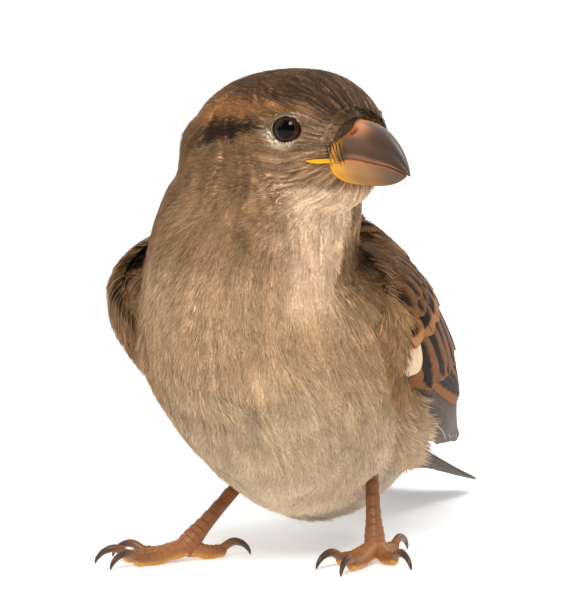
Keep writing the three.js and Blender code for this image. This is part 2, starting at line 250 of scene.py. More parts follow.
def unwrap(points):
    """The skin laid flat: across by the angle round the middle line, up by the place along it."""
    i = nearest_on_line(points)
    onward = unit(np.gradient(middle_line, axis=0))[i]
    side = unit(at(1, 0, 0) - onward * onward[:, :1])
    rise = np.cross(onward, side)
    out = points - middle_line[i]
    turn = np.arctan2((out * rise).sum(-1), (out * side).sum(-1))
    share = (middle_lengths[i] + (out * onward).sum(-1)) / middle_lengths[-1]
    return np.stack([turn / (2 * np.pi) + 0.5, np.clip(0.06 + 0.88 * share, 0.01, 0.99)], -1)


def eye_centre(side):
    """The middle of the eyeball on the left (1) or right (-1) of the head."""
    return from_head(EYE["along"], side * EYE["side"], EYE["up"])


EYE_AXIS = {side: unit(np.array([0.6, side * 0.78, 0.08]) @ HEAD_AXES) for side in (1, -1)}
LID = {"long": 2.23, "tall": 1.85, "thick": 0.11, "fold": 0.13}
SOCKET_SLOPE, SOCKET_REACH = 1.5, 1.9


def eye_axes(side):
    """The optic axis of one eye with the two directions across it: backwards and up."""
    axis = EYE_AXIS[side]
    up = unit(HEAD_UP - axis * (HEAD_UP @ axis))
    return axis, np.cross(up, axis) * side, up


def from_lid(points):
    """How far out from the opening of the nearer eye: 1 on the lid's edge, as the root of the sum of the
    squares of both distances across the axis over the opening's half sizes. 9 on the eye's far side."""
    found = np.full(len(points), 9.0)
    for side in (1, -1):
        axis, back, up = eye_axes(side)
        out = points - eye_centre(side)
        apart = np.hypot(out @ back / LID["long"], out @ up / LID["tall"])
        found = np.where(out @ axis > 0, np.minimum(found, apart), found)
    return found


def lid_ahead(turn):
    """How far ahead of the eyeball's middle the lid's edge lies: on the ball, where the opening ends."""
    return np.sqrt(EYE["radius"] ** 2 - (LID["long"] * np.cos(turn)) ** 2 - (LID["tall"] * np.sin(turn)) ** 2)


def lid_edge(side, turn, wider=0.0):
    """A point of the lid's edge at a turn round the optic axis, moved out by some millimetres."""
    axis, back, up = eye_axes(side)
    cosine, sine = np.cos(turn)[..., None], np.sin(turn)[..., None]
    edge = lid_ahead(turn)[..., None] * axis + LID["long"] * cosine * back + LID["tall"] * sine * up
    return eye_centre(side) + edge + (cosine * back + sine * up) * np.asarray(wider)[..., None]


def socketed(points):
    """The skin drawn in round each eye: no point stands further out along the optic axis than the lid's
    edge there, plus a slope for each half size beyond it; inside the opening it sinks under the ball."""
    for side in (1, -1):
        axis, back, up = eye_axes(side)
        out = points - eye_centre(side)
        ahead, across, tall = out @ axis, out @ back / LID["long"], out @ up / LID["tall"]
        ratio = np.hypot(across, tall)
        slope = np.where(ratio > 1, SOCKET_SLOPE, 0.9) * (ratio - 1)
        limit = lid_ahead(np.arctan2(tall, across)) + slope - 0.1
        near = (ahead > 0) & (ratio < SOCKET_REACH)
        points = points + axis * np.where(near, np.minimum(0, limit - ahead), 0)[:, None]
    return points


def ease(value, start, end):
    """A smooth step from 0 at start to 1 at end: the share squared times three less twice the share."""
    share = np.clip((value - start) / (end - start), 0, 1)
    return share * share * (3 - 2 * share)


def coat_depth(points):
    """How deep the coat lies over the skin: least on the face, more on the neck, most on belly and rump."""
    along = on_head(points)[:, 0]
    apart = from_skull(points)
    depth = 0.55 + 0.4 * ease(apart, 9, 20) + 0.5 * ease(apart, 22, 40)
    face = (1 - ease(from_lid(points), 1.2, 2.6)) + ease(along, 3, 9) * (apart < 18)
    return depth - 0.2 * np.clip(face, 0, 1) + 0.3 * ease(-points[:, 2], -22, -10)


# ---------------------------------------------------------------- markings
# The hen's colours, the same on skin and coat: a grey-brown crown, a buff band behind the eye over a
# dark stripe, a grey-brown cheek, a pale throat, a buff breast and a paler belly.


def srgb(*levels):
    """A colour mixed on screen levels of 0 to 255, as the linear light that materials work in."""
    level = np.array(levels, float) / 255
    return np.where(level > 0.04045, ((level + 0.055) / 1.055) ** 2.4, level / 12.92)


CROWN, CROWN_RUFOUS = srgb(78, 56, 38), srgb(96, 60, 34)
BROW, STRIPE, CHEEK, EYE_RING = srgb(148, 96, 52), srgb(40, 26, 15), srgb(122, 91, 62), srgb(186, 154, 120)
LORE, MALAR, THROAT = srgb(130, 102, 76), srgb(162, 128, 96), srgb(226, 192, 156)
BREAST, BELLY, FLANK = srgb(180, 147, 110), srgb(198, 174, 142), srgb(158, 122, 84)
LOWEST_PALE_AND_BOUNCE, VENT, NAPE, NECK = srgb(236, 214, 184), srgb(196, 178, 154), srgb(104, 76, 50), srgb(156, 122, 86)
MANTLE, RUMP = srgb(112, 82, 54), srgb(120, 94, 68)
BAND = {"from": -18, "to": 6, "middle": (-1.0, 1.1, 2.1, 2.7, 3.4, 3.9, 3.8),
        "wide": (2.4, 2.2, 1.8, 1.7, 1.0, 0.45, 0.2)}
EYE_STRIPE = {"from": -18, "to": 2, "middle": (-3.4, -1.6, -0.4, 0.4, 0.9, 1.2),
              "wide": (1.3, 1.4, 1.4, 1.2, 0.9, 0.6)}


def mix(first, second, share):
    """A blend of two colours, each one colour or one for each point, by a share for each point."""
    return first * (1 - share[..., None]) + second * share[..., None]


def ripple(points, scale, seed):
    """Soft patchiness from -1 to 1: a sum of sines of turned directions through the points."""
    rng = np.random.default_rng(seed)
    waves = rng.normal(size=(6, 3)) / scale
    return np.sin(points @ waves.T + rng.uniform(0, 6.28, 6)).mean(-1) * 1.6


def run(stations, value, start, end):
    """A smooth run of numbers given at even steps of a value from start to end."""
    share = np.clip((value - start) / (end - start), 0, 1)
    return spline(np.array(stations, float)[:, None], share)[..., 0]


def on_band(band, along, up, outer, inner):
    """How far a place lies in a band drawn along the head: its middle's height and half width run along
    it, and its border fades from an outer to an inner distance past the half width."""
    middle, wide = [run(band[key], along, band["from"], band["to"]) for key in ("middle", "wide")]
    return ease(-np.abs(up - middle), -wide - outer, -wide + inner)


def markings(points):
    """The plumage's colour at points of the body, built up area by area with soft, streaky borders."""
    along, side, up = on_head(points).T
    left, forward, height = points[:, 0], -points[:, 1], points[:, 2]
    apart = from_skull(points)
    patch, fine = ripple(points, 3.0, 3), ripple(points, 0.9, 4)
    up = up + 0.3 * fine + 0.25 * patch
    # trunk: a buff breast, paler below, browner along the sides and under the wings; palest at the very
    # bottom, part the belly's own colour and part painted light bounced up from the floor
    colour = mix(BREAST, BELLY, ease(-height + 1.5 * patch, -34, -16))
    sides = ease(np.abs(left - 3), 10, 19) * ease(forward + 2 * patch, -14, 8)
    colour = mix(colour, FLANK, sides * 0.8 * ease(height, 14, 30))
    colour = mix(colour, VENT, ease(-forward + 2 * patch, 4, 14) * ease(-height, -24, -12))
    # painted light: the lowest belly, which faces the floor, is mixed towards near-white, part its own
    # paleness and part painted floor bounce
    colour = mix(colour, LOWEST_PALE_AND_BOUNCE, 0.8 * ease(-height, -17, -9) * ease(forward, -12, -4))
    back = ease(height - (22 + 0.55 * forward), 6, 14) * ease(-forward, -16, -4)
    colour = mix(colour, MANTLE, back)
    colour = mix(colour, RUMP, ease(-forward, 14, 26) * ease(height - (22 + 0.4 * forward), -2, 6))
    # neck: pale in front of it from the bill down to the breast, brown behind
    bearing = np.degrees(np.arctan2(side, along + 3.0)) + 6 * patch
    neck = mix(NAPE, NECK, ease(-np.abs(bearing), -150, -75))
    pale = ease(-np.abs(bearing + 6), -46, -28) * ease(height, 37, 45)
    in_front = 0.75 * (np.abs(bearing) < 60) * (1 - ease(height, 46, 54))
    colour = mix(colour, neck, ease(height + 2 * patch, 42, 50) * (1 - in_front))
    colour = mix(colour, THROAT, pale * 0.95)
    # head: crown, face, pale malar, then the band over the dark stripe behind the eye
    half = np.abs(side)
    face = mix(CHEEK, NECK, ease(-up, 3, 9) * 0.6)
    face = mix(face, MALAR, ease(-up + 0.2 * along, 0.2, 3.2) * ease(along, -0.5, 4.5) * 0.7)
    face = mix(face, THROAT, ease(-up, 5.0, 7.6) * ease(along + 0.1 * up, 1.5, 5.5))
    face = mix(face, LORE, ease(along, 4.0, 6.5) * ease(up, -2.4, -0.6))
    crown = mix(CROWN, CROWN_RUFOUS, np.clip(0.3 + 0.5 * patch, 0, 1) * ease(-along, -6, 4))
    head = mix(face, crown, ease(up + 2 * ease(along, 4, 9) * (half < 6), 4.0, 5.6))
    brow = on_band(BAND, along, up, 0.8, 0.6) * ease(half, 4.0, 6.5)
    head = mix(head, BROW, brow * (0.75 + 0.25 * fine))
    stripe = on_band(EYE_STRIPE, along, up, 0.7, 0.2) * ease(half, 4.5, 7) * ease(-along, -2.5, 0.5)
    head = mix(head, STRIPE, stripe)
    ringed = ease(-from_lid(points), -1.7, -1.25)
    head = mix(head, EYE_RING, ringed * 0.8 * ease(-up, -2.5, 0.5))
    colour = mix(colour, head, ease(-apart - 0.2 * up, -18.5, -14))
    colour = mix(colour, THROAT, pale * ease(-up, 5.5, 8.0))
    return np.clip(colour * (1 + 0.08 * patch + 0.06 * fine)[:, None], 0.004, 1)


skin_bare = socketed(skin_points - skin_normals * coat_depth(skin_points)[:, None])


def node_adder(tree):
    """A function that adds a node to a tree by its kind and settings, or takes one that is there, and
    feeds its sockets, by name or number, each with another node's socket or with a plain value."""
    def add(kind, feeds=(), **settings):
        node = tree.nodes.new("ShaderNode" + kind) if isinstance(kind, str) else kind
        for key, value in settings.items():
            setattr(node, key, value)
        for key, value in dict(feeds).items():
            if isinstance(value, bpy.types.NodeSocket):
                tree.links.new(value, node.inputs[key])
            else:
                node.inputs[key].default_value = value
        return node
    return add


def new_material(name):
    """A new material with its Principled shader and a function that adds nodes to it."""
    made = bpy.data.materials.new(name)
    made.use_nodes = True
    return made, made.node_tree.nodes["Principled BSDF"], node_adder(made.node_tree)


def noise_at(add, scale, detail=2.0):
    """Fine noise over the object's own coordinates, as a socket."""
    place = add("TexCoord").outputs["Object"]
    return add("TexNoise", {"Scale": scale, "Detail": detail, "Vector": place}).outputs["Fac"]


def scaled(add, colour, level):
    """A colour's socket times a level's."""
    return add("VectorMath", {0: colour, "Scale": level}, operation="SCALE").outputs["Vector"]


def bumped(add, strength, distance, height):
    """The direction that a bump of a strength and a distance in metres gives for a height's socket."""
    return add("Bump", {"Strength": strength, "Distance": distance, "Height": height}).outputs["Normal"]


def plumage(name, roughness, grain):
    """Soft plumage: the markings attribute, broken up by fine noise, with a little bump and sheen."""
    made, shader, add = new_material(name)
    noise = noise_at(add, grain, 4)
    level = add("MapRange", {"From Min": 0.3, "From Max": 0.7, "To Min": 0.82, "To Max": 1.14,
                             "Value": noise})
    painted = add("Attribute", attribute_name="markings").outputs["Color"]
    add(shader, {"Roughness": roughness, "Specular IOR Level": 0.12, "Sheen Weight": 0.04,
                 "Sheen Roughness": 0.4, "Base Color": scaled(add, painted, level.outputs["Result"]),
                 "Normal": bumped(add, 0.3, 0.00005, noise)})
    return made


def end_caps(rows, columns):
    """Triangles from the first and the last ring of a tube's grid to two points that follow the grid's."""
    ring, count = np.arange(columns), rows * columns
    last = ring + count - columns
    return np.concatenate([np.stack([np.roll(ring, -1), ring, np.full(columns, count)], -1),
                           np.stack([last, np.roll(last, -1), np.full(columns, count + 1)], -1)])


def tube(line, radius, sides=10, closed=False):
    """A tube along a line of points: round sections whose radius follows the line. An open tube's ends
    close to points; a closed one runs back into itself."""
    line = np.asarray(line, float)
    radius = np.broadcast_to(radius, len(line))
    onward = unit(np.roll(line, -1, 0) - np.roll(line, 1, 0) if closed else np.gradient(line, axis=0))
    seed = np.where(np.abs(onward[:, 2:]) > 0.9, [[1.0, 0, 0]], [[0, 0, 1.0]])
    side = unit(np.cross(line - line.mean(0) if closed else seed, onward))
    rise = np.cross(onward, side)
    turn = once_round(sides)[None, :, None]
    across = np.cos(turn) * side[:, None] + np.sin(turn) * rise[:, None]
    points = (line[:, None] + across * radius[:, None, None]).reshape(-1, 3)
    faces = grid_faces(len(line) + closed, sides) % len(points)
    if closed:
        return points, faces, NO_TRIANGLES
    ends = np.stack([line[0] - onward[0] * radius[0] * 0.5, line[-1] + onward[-1] * radius[-1] * 0.5])
    return np.concatenate([points, ends]), faces, end_caps(len(line), sides)


def build(name, points, faces, material, colours=None, maps=None, replaces=()):
    """A piece of the bird: points in millimetres, arrays of faces, colours and UV maps by point."""
    faces = faces if isinstance(faces, list) else [faces]
    mesh = bpy.data.meshes.new(name)
    points = np.asarray(points, float).reshape(-1, 3)
    corners = np.concatenate([f.ravel() for f in faces]).astype(np.int32)
    sizes = np.concatenate([np.full(len(f), f.shape[1]) for f in faces])
    starts = np.concatenate([[0], np.cumsum(sizes)[:-1]]).astype(np.int32)
    mesh.vertices.add(len(points))
    mesh.vertices.foreach_set("co", ((points + ORIGIN) / 1000).astype(np.float32).ravel())
    mesh.loops.add(len(corners))
    mesh.loops.foreach_set("vertex_index", corners)
    mesh.polygons.add(len(sizes))
    mesh.polygons.foreach_set("loop_start", starts)
    mesh.polygons.foreach_set("use_smooth", np.ones(len(sizes), bool))
    mesh.update(calc_edges=True)
    if colours is not None:
        layer = mesh.color_attributes.new("markings", "FLOAT_COLOR", "POINT")
        rgba = np.concatenate([colours.reshape(-1, 3), np.ones((len(points), 1))], 1)
        layer.data.foreach_set("color", rgba.astype(np.float32).ravel())
    for label, places in (maps or {}).items():
        layer = mesh.uv_layers.new(name=label)
        layer.data.foreach_set("uv", places.reshape(-1, 2)[corners].astype(np.float32).ravel())
    mesh.materials.append(material)
    piece = bpy.data.objects.new(name, mesh)
    bpy.context.scene.collection.objects.link(piece)
    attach(piece, "root")
    if replaces:
        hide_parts(*replaces)
    return piece


down = plumage("down", 0.9, 1500)
SHADED = 0.65
LID_ROLLS = ((0.07, LID["thick"], srgb(128, 124, 102)), (0.3, LID["fold"], srgb(104, 88, 68)))
round_eye = once_round(96)
parts, colours = [(skin_bare, skin_faces, NO_TRIANGLES)], [markings(skin_points) * SHADED]
for side in (1, -1):  # the rolled edge of each lid and a shallow fold beyond it
    for wider, thick, tone in LID_ROLLS:
        line = lid_edge(side, round_eye, wider) + EYE_AXIS[side] * (0.02 + 0.35 * wider)
        parts.append(tube(line, thick * (1 + 0.12 * np.sin(round_eye * 17)), 10, closed=True))
        colours.append(np.ones((len(parts[-1][0]), 1)) * tone)
points, faces = joined(parts)
build("skin", points, faces, down, np.concatenate(colours), {"UVMap": unwrap(points)},
      ["head", "neck", "trunk", "wing_left_coverts", "wing_right_coverts"])

# ---------------------------------------------------------------- coat
# Contour feathers show only their tips: flat fans of fine barbs that overlap like tiles. Each tuft is
# one feather's tip, rooted in the skin and combed along the lie, smallest round the eye and the bill.


BILL_ROOT = from_head(9.5, 0, -0.6)
LIE_ROUNDS = 25


def level_with(ways, normals):
    """Directions laid into the surface: each less its part along the normal, at length 1."""
    return unit(ways - normals * (ways * normals).sum(-1, keepdims=True))


def nearer_eye(points):
    """The middle of the eyeball on each point's side of the head."""
    return np.where(on_head(points)[:, 1:2] > 0, eye_centre(1), eye_centre(-1))


def lie_of(points, normals):
    """The way the feathers lie: away from the bill's root on the head, parted round each eye, and towards
    the tail on the body; laid into the skin and evened out between neighbours."""
    from_bill = unit(points - BILL_ROOT)
    i = np.minimum(nearest_on_line(points), BODY_STEPS - 1)
    tailward = unit(at(0, 0, -0.25) - unit(np.gradient(body_line, axis=0))[i])
    headed = (1 - ease(from_skull(points), 12, 24))[:, None]
    parted = 1.1 * (1 - ease(from_lid(points), 1.1, 2.3))[:, None]
    lie = from_bill * headed + tailward * (1 - headed) + unit(points - nearer_eye(points)) * parted
    lie = level_with(lie, normals)
    edges = np.concatenate([skin_faces[:, [k, (k + 1) % 4]] for k in range(4)])
    ends, others = edges.ravel(), edges[:, ::-1].ravel()
    for _ in range(LIE_ROUNDS):
        total = np.stack([np.bincount(ends, lie[others, k], len(points)) for k in range(3)], -1)
        lie = level_with(unit(total) + lie, normals)
    return lie


skin_lie = lie_of(skin_points, skin_normals)
coat_rng = np.random.default_rng(11)
DENSITY = 1.0


def tuft_pitch(points):
    """How far apart the tufts are rooted: closest on the face, widest on the belly and rump."""
    apart, along = from_skull(points), on_head(points)[:, 0]
    face = np.maximum(1 - ease(from_lid(points), 1.3, 2.8), ease(along, 3, 8) * (apart < 17))
    return 0.345 + 0.11 * ease(apart, 12, 20) + 0.08 * ease(apart, 22, 36) - 0.05 * face


KEY_CELL, KEY_BITS = 1.2, 8


def rooted(points, normals, lie, faces, pitch):
    """Roots spread evenly over the skin: faces in the order of a space-filling key, taken at even steps
    of their area over the square of the pitch, each root at a random place in its face."""
    corner = points[faces]
    area = 0.5 * np.linalg.norm(np.cross(corner[:, 2] - corner[:, 0], corner[:, 3] - corner[:, 1]), axis=1)
    cell = ((corner.mean(1) - points.min(0)) / KEY_CELL).astype(np.int64)
    key = np.zeros(len(faces), np.int64)
    for bit in range(KEY_BITS):
        for axis in range(3):
            key |= ((cell[:, axis] >> bit) & 1) << (3 * bit + axis)
    order = np.argsort(key, kind="stable")
    weight = (area / pitch[faces].mean(1) ** 2)[order]
    total = np.cumsum(weight)
    count = int(total[-1] * DENSITY)
    steps = (np.arange(count) + coat_rng.uniform(0, 1, count)) / count * total[-1]
    face = faces[order[np.minimum(np.searchsorted(total, steps), len(faces) - 1)]]
    u, v = coat_rng.uniform(0, 1, (2, count, 1))
    shares = np.stack([(1 - u) * (1 - v), u * (1 - v), u * v, (1 - u) * v], 1)
    return [(values[face] * shares).sum(1) for values in (points, normals, lie)]


roots, root_normals, root_lie = rooted(skin_bare, skin_normals, skin_lie, skin_faces, tuft_pitch(skin_bare))
root_normals, root_lie = unit(root_normals), unit(root_lie)

COVER_REACH = 6.5
wing_cover = []
for side in (1, -1):
    share, edge = np.meshgrid(np.linspace(0.13, 1, 60), np.linspace(0, 1, 24), indexing="ij")
    shell = wing_surface(side, share, edge, 1.2).reshape(-1, 3)
    wing_cover.append(BVHTree.FromPolygons(shell.tolist(), grid_faces(60, 24, False).tolist()))


def covered(points, normals):
    """Which roots lie under a folded wing, found by a short look outwards from each."""
    found = np.zeros(len(points), bool)
    starts, ways = (points - normals * 0.5).tolist(), normals.tolist()
    for tree in wing_cover:
        found |= np.array([tree.ray_cast(p, n, COVER_REACH)[0] is not None for p, n in zip(starts, ways)])
    return found


HEAD_COAT_END = 9.9
eyeward = unit(nearer_eye(roots) - roots)
margin = 1.22 + 0.25 * np.clip((root_lie * eyeward).sum(-1), 0, 1)
kept = (from_lid(roots) > margin) & (on_head(roots)[:, 0] < HEAD_COAT_END) & ~covered(roots, root_normals)
roots, root_normals, root_lie = roots[kept], root_normals[kept], root_lie[kept]

BARBS = 9


def fans(root, normal, lie, length, half, depth, spread, barbs, rng, width, loose=1.0):
    """Fans of barbs. Barb j of a tuft starts a share of the half width to the side, runs out along the lie
    turned by its place in the fan, bends sideways with the square of its length, and rises from the skin
    to the coat's depth as one less the square of what is left. Each is a strip that tapers to a point."""
    count = len(root)
    length, half, depth, width = [np.broadcast_to(x, count)[:, None] for x in (length, half, depth, width)]
    place = np.linspace(-1, 1, barbs)[None] + rng.uniform(-0.1, 0.1, (count, barbs))
    side = np.cross(normal, lie)
    turn = place * spread + rng.normal(0, 0.04, (count, 1)) * loose
    turn = (turn + rng.normal(0, 0.03, (count, barbs)) * loose)[..., None]
    way = lie[:, None] * np.cos(turn) + side[:, None] * np.sin(turn)
    across = side[:, None] * np.cos(turn) - lie[:, None] * np.sin(turn)
    reach = length * (1 - 0.2 * place**2) * rng.uniform(0.85, 1.1, (count, barbs))
    start = root[:, None] + side[:, None] * (place * half * 0.6)[..., None] - normal[:, None] * 0.12
    bend = reach * (rng.normal(0, 0.03, (count, barbs)) + rng.normal(0, 0.05, (count, 1))) * loose
    roll = rng.normal(0, 0.3, (count, barbs))[..., None]
    edge = across * np.cos(roll) + normal[:, None] * np.sin(roll)
    t = np.array([0.0, 0.5, 1.0])
    rise = depth * rng.uniform(0.9, 1.07, (count, barbs))
    line = (start[..., None, :] + way[..., None, :] * (reach[..., None] * t)[..., None]
            + across[..., None, :] * (bend[..., None] * t**2)[..., None]
            + normal[:, None, None] * (rise[..., None] * (1 - (1 - t) ** 2))[..., None])
    thick = (width * rng.uniform(0.8, 1.2, (count, barbs)))[..., None] * np.array([0.35, 0.5])
    sides = edge[..., None, :] * thick[..., None]
    low, high = line[..., :2, :] - sides, line[..., :2, :] + sides
    points = np.stack([low[..., 0, :], high[..., 0, :], high[..., 1, :], low[..., 1, :], line[..., 2, :]], -2)
    first = np.arange(count * barbs)[:, None] * 5
    return points, [first + np.array([0, 1, 2, 3]), first + np.array([3, 2, 4])], place


STREAKS = np.random.default_rng(21).normal(0, 1, (1024, 64))
HEAD_CELLS, HEAD_STEPS, BODY_CELLS, BODY_RUNS = 370, 60, 720, 44


def streaks(place, cells, steps, sway):
    """Fine light and dark lines that run with the lie: a table of random levels read by the angle round
    the middle line and, in long steps, by the place along it; the lines sway with a slow ripple."""
    across, along = (place[..., 0] * cells + 2.6 * sway) % 1024, place[..., 1] * steps + 0.8 * sway
    i, j = across.astype(int), np.floor(along).astype(int)
    u, v = ease(across - i, 0, 1), ease(along - j, 0, 1)
    near, far = [STREAKS[i % 1024, k % 64] * (1 - u) + STREAKS[(i + 1) % 1024, k % 64] * u
                 for k in (j, j + 1)]
    return near * (1 - v) + far * v


def streaked(root, lie, side, points):
    """The streaks at the start, middle and tip of each barb. The unwrapped place of a barb's point is its
    root's place plus the steps along the lie and to the side times the map's change over 1 mm of each."""
    origin = unwrap(root)
    change = np.stack([unwrap(root + way) - origin for way in (lie, side)], -2)
    change[..., 0] -= np.round(change[..., 0])
    out = points[:, :, [0, 2, 4]] - root[:, None, None]
    steps = np.stack([(out * way[:, None, None]).sum(-1) for way in (lie, side)], -1)
    place = origin[:, None, None] + np.einsum("ijkl,ilm->ijkm", steps, change)
    sway = (ripple(root, 2.2, 8) + 0.25 * ripple(root, 0.8, 9))[:, None, None]
    body = ease(from_skull(root), 14, 22)[:, None, None]
    return (streaks(place, HEAD_CELLS, HEAD_STEPS, sway) * (1 - body)
            + streaks(place, BODY_CELLS, BODY_RUNS, sway) * body)


def patches(root, place):
    """Each tuft's own patch on the unwrapped skin, about 0.003 across, at its root's place."""
    across = place[..., None] * 0.0012 + np.array([-1, 1, 1, -1, 0]) * 0.0001
    along = np.array([-0.0015, -0.0015, 0, 0, 0.0015])
    return unwrap(root)[:, None, None] + np.stack(np.broadcast_arrays(across, along), -1)


BARB_SHADE = np.array([0.6, 0.6, 0.88, 0.88, 1.1])


def tufts(name, root, made, tone):
    """A piece of the coat from its roots, its fans and a tone for every point."""
    points, faces, place = made
    maps = {"OFBake": patches(root, place)}
    build(name, points, faces, barb, np.clip(tone, 0.003, 1), maps)


def feathered(root, normal, lie, rng):
    """The whole feathers that the tufts belong to. Seeds are picked at random, one for each feather; a tuft
    joins the nearest, turns by its distance to the side of the seed, and is lighter the further on it is."""
    spacing = 1.5 + 1.5 * ease(from_skull(root), 14, 24) + 0.9 * ease(-root[:, 2], -26, -12)
    chance = 0.16 / spacing**2 * (0.46 / DENSITY)
    seeds = np.flatnonzero(rng.uniform(0, 1, len(root)) < chance)
    tree = KDTree(len(seeds))
    for number, place in enumerate(root[seeds].tolist()):
        tree.insert(place, number)
    tree.balance()
    nearest = np.array([tree.find(place)[1] for place in root.tolist()])
    out = (root - root[seeds][nearest]) / spacing[:, None]
    side = np.cross(normal, lie)
    turn = 0.34 * np.clip((out * side).sum(-1), -1, 1) + rng.normal(0, 0.1, len(seeds))[nearest]
    onward = np.clip((out * lie).sum(-1), -1, 1)
    shade = rng.normal(1, 0.035, len(seeds))[nearest] * (1 + 0.07 * onward)
    return lie * np.cos(turn)[:, None] + side * np.sin(turn)[:, None], onward, shade


def coat_piece(name, chosen, rng, painted=markings):
    """The coat over one area: its fans with their colours, and each tuft's patch on the unwrapped skin. The
    tufts are gathered in feathers: each is turned away from its feather's shaft and lifted to its tip."""
    root, normal, lie = chosen
    lie, onward, shade = feathered(root, normal, lie, rng)
    count, apart, along = len(root), from_skull(root), on_head(root)[:, 0]
    height, forward = root[:, 2], -root[:, 1]
    face = np.maximum(1 - ease(from_lid(root), 1.25, 2.6), ease(along, 4, 8.5) * (apart < 17))
    low, far = ease(-height, -24, -10), ease(apart, 14, 30)
    length = 1.9 + 1.2 * ease(apart, 12, 22) + 0.5 * ease(apart, 24, 36) + 1.6 * low
    length *= (1 - 0.5 * face) * rng.uniform(0.85, 1.15, count)
    depth = coat_depth(root) * rng.uniform(0.88, 1.0, count) * (1 + 0.1 * onward)
    depth *= 1 - 0.55 * ease(height - (22 + 0.55 * forward), 6, 14) * ease(-forward, 2, 8)  # under the mantle
    made = fans(root, normal, lie, length, 0.5 + 0.35 * far, depth, 0.26, BARBS, rng,
                (0.12 + 0.04 * far) * (1 - 0.2 * face), 1 + 1.2 * low.mean())
    lines = streaked(root, lie, np.cross(normal, lie), made[0])[..., [0, 0, 1, 1, 2]]
    base = painted(root + normal * depth[:, None])
    contrast = 0.38 - 0.18 * low + 0.2 * (1 - ease(apart, 13, 20))  # strongest on the head's dark feathers
    contrast = contrast * (1 - 0.5 * ease(base[:, 0], 0.35, 0.65)) + 0.3 * ease(-base[:, 0], -0.2, -0.12)
    tone = shade[:, None, None] * rng.normal(1, 0.04, (count, 1, 1)) * rng.normal(1, 0.07, (count, BARBS, 1))
    tone = tone * np.exp(contrast[:, None, None] * lines) * BARB_SHADE
    tufts(name, root, made, base[:, None, None] * tone[..., None])


barb = plumage("barb", 0.62, 2600)
HEAD_SIZE, NECK_SIZE, BREAST_FROM, BACK_FROM = 16.5, 27, 4, 26
apart, left = from_skull(roots), roots[:, 0] >= 0
fore, high = roots[:, 1] < -BREAST_FROM, roots[:, 2] >= BACK_FROM
on_the_head, head_left, trunk = apart < HEAD_SIZE, on_head(roots)[:, 1] >= 0, apart >= NECK_SIZE
areas = {
    "coat_head_left": on_the_head & head_left, "coat_head_right": on_the_head & ~head_left,
    "coat_neck": ~on_the_head & ~trunk, "coat_breast": trunk & fore,
    "coat_belly_left": trunk & ~fore & ~high & left, "coat_belly_right": trunk & ~fore & ~high & ~left,
    "coat_back": trunk & ~fore & high,
}
for number, (name, chosen) in enumerate(areas.items()):
    chosen = [values[chosen] for values in (roots, root_normals, root_lie)]
    coat_piece(name, chosen, np.random.default_rng(100 + number))

# ---------------------------------------------------------------- eyes
# A sparrow's eye shows no white: a black pupil in a dark brown iris fills the lids. The ball is a full
# sphere with a slight bulge over the iris, set in the skull, and wet.
PUPIL, IRIS, IRIS_EDGE = 0.44, 0.74, 0.86


def eyeball(side, rows=48, columns=64):
    """A sphere in rings of equal angle from the optic axis, bulged by a bell curve of that angle."""
    axis, back, up = eye_axes(side)
    polar, turn = np.meshgrid(np.linspace(0.002, np.pi - 0.002, rows), once_round(columns), indexing="ij")
    radius = EYE["radius"] * (1 + 0.03 * np.exp(-((polar / 0.6) ** 2)))
    ring = np.cos(turn)[..., None] * back + np.sin(turn)[..., None] * up
    points = np.cos(polar)[..., None] * axis + np.sin(polar)[..., None] * ring
    places = 0.5 + (polar / (2 * np.pi))[..., None] * np.stack([np.cos(turn), np.sin(turn)], -1)
    return eye_centre(side) + radius[..., None] * points, grid_faces(rows, columns)[:, ::side], places


def maths(add, kind, *values):
    """A math node's result for sockets or plain numbers."""
    return add("Math", dict(enumerate(values)), operation=kind).outputs["Value"]


def blend(add, share, first, second):
    """A mix of two colours, each a socket or linear levels, by a share."""
    first, second = [x if isinstance(x, bpy.types.NodeSocket) else (*x, 1) for x in (first, second)]
    return add("Mix", {0: share, 6: first, 7: second}, data_type="RGBA").outputs[2]


def smooth_between(add, value, start, end):
    """A smooth step of a value from 0 at start to 1 at end."""
    feeds = {"Value": value, "From Min": start, "From Max": end}
    return add("MapRange", feeds, interpolation_type="SMOOTHSTEP").outputs["Result"]


eye_wet, shader, add = new_material("wet_eye")
flat = add("UVMap", uv_map="flat").outputs["UV"]
middle = add("VectorMath", {0: flat, 1: (0.5, 0.5, 0)}, operation="DISTANCE").outputs["Value"]
polar = maths(add, "MULTIPLY", middle, 2 * np.pi)
fibre = add("TexNoise", {"Scale": 60, "Detail": 3, "Vector": flat}).outputs["Fac"]
brown = blend(add, fibre, srgb(20, 10, 5), srgb(66, 38, 20))
colour = blend(add, smooth_between(add, polar, PUPIL - 0.02, PUPIL + 0.03), srgb(4, 3, 3), brown)
colour = blend(add, smooth_between(add, polar, IRIS - 0.14, IRIS_EDGE - 0.06), colour, srgb(12, 8, 6))
add(shader, {"Roughness": 0.05, "Specular IOR Level": 0.0, "Coat Weight": 1.0, "Coat Roughness": 0.02,
             "Coat IOR": 1.21, "Base Color": colour})
for name, side in SIDES.items():
    points, faces, places = eyeball(side)
    build(f"eyeball_{name}", points, faces, eye_wet, maps={"flat": places}, replaces=[f"eye_{name}"])

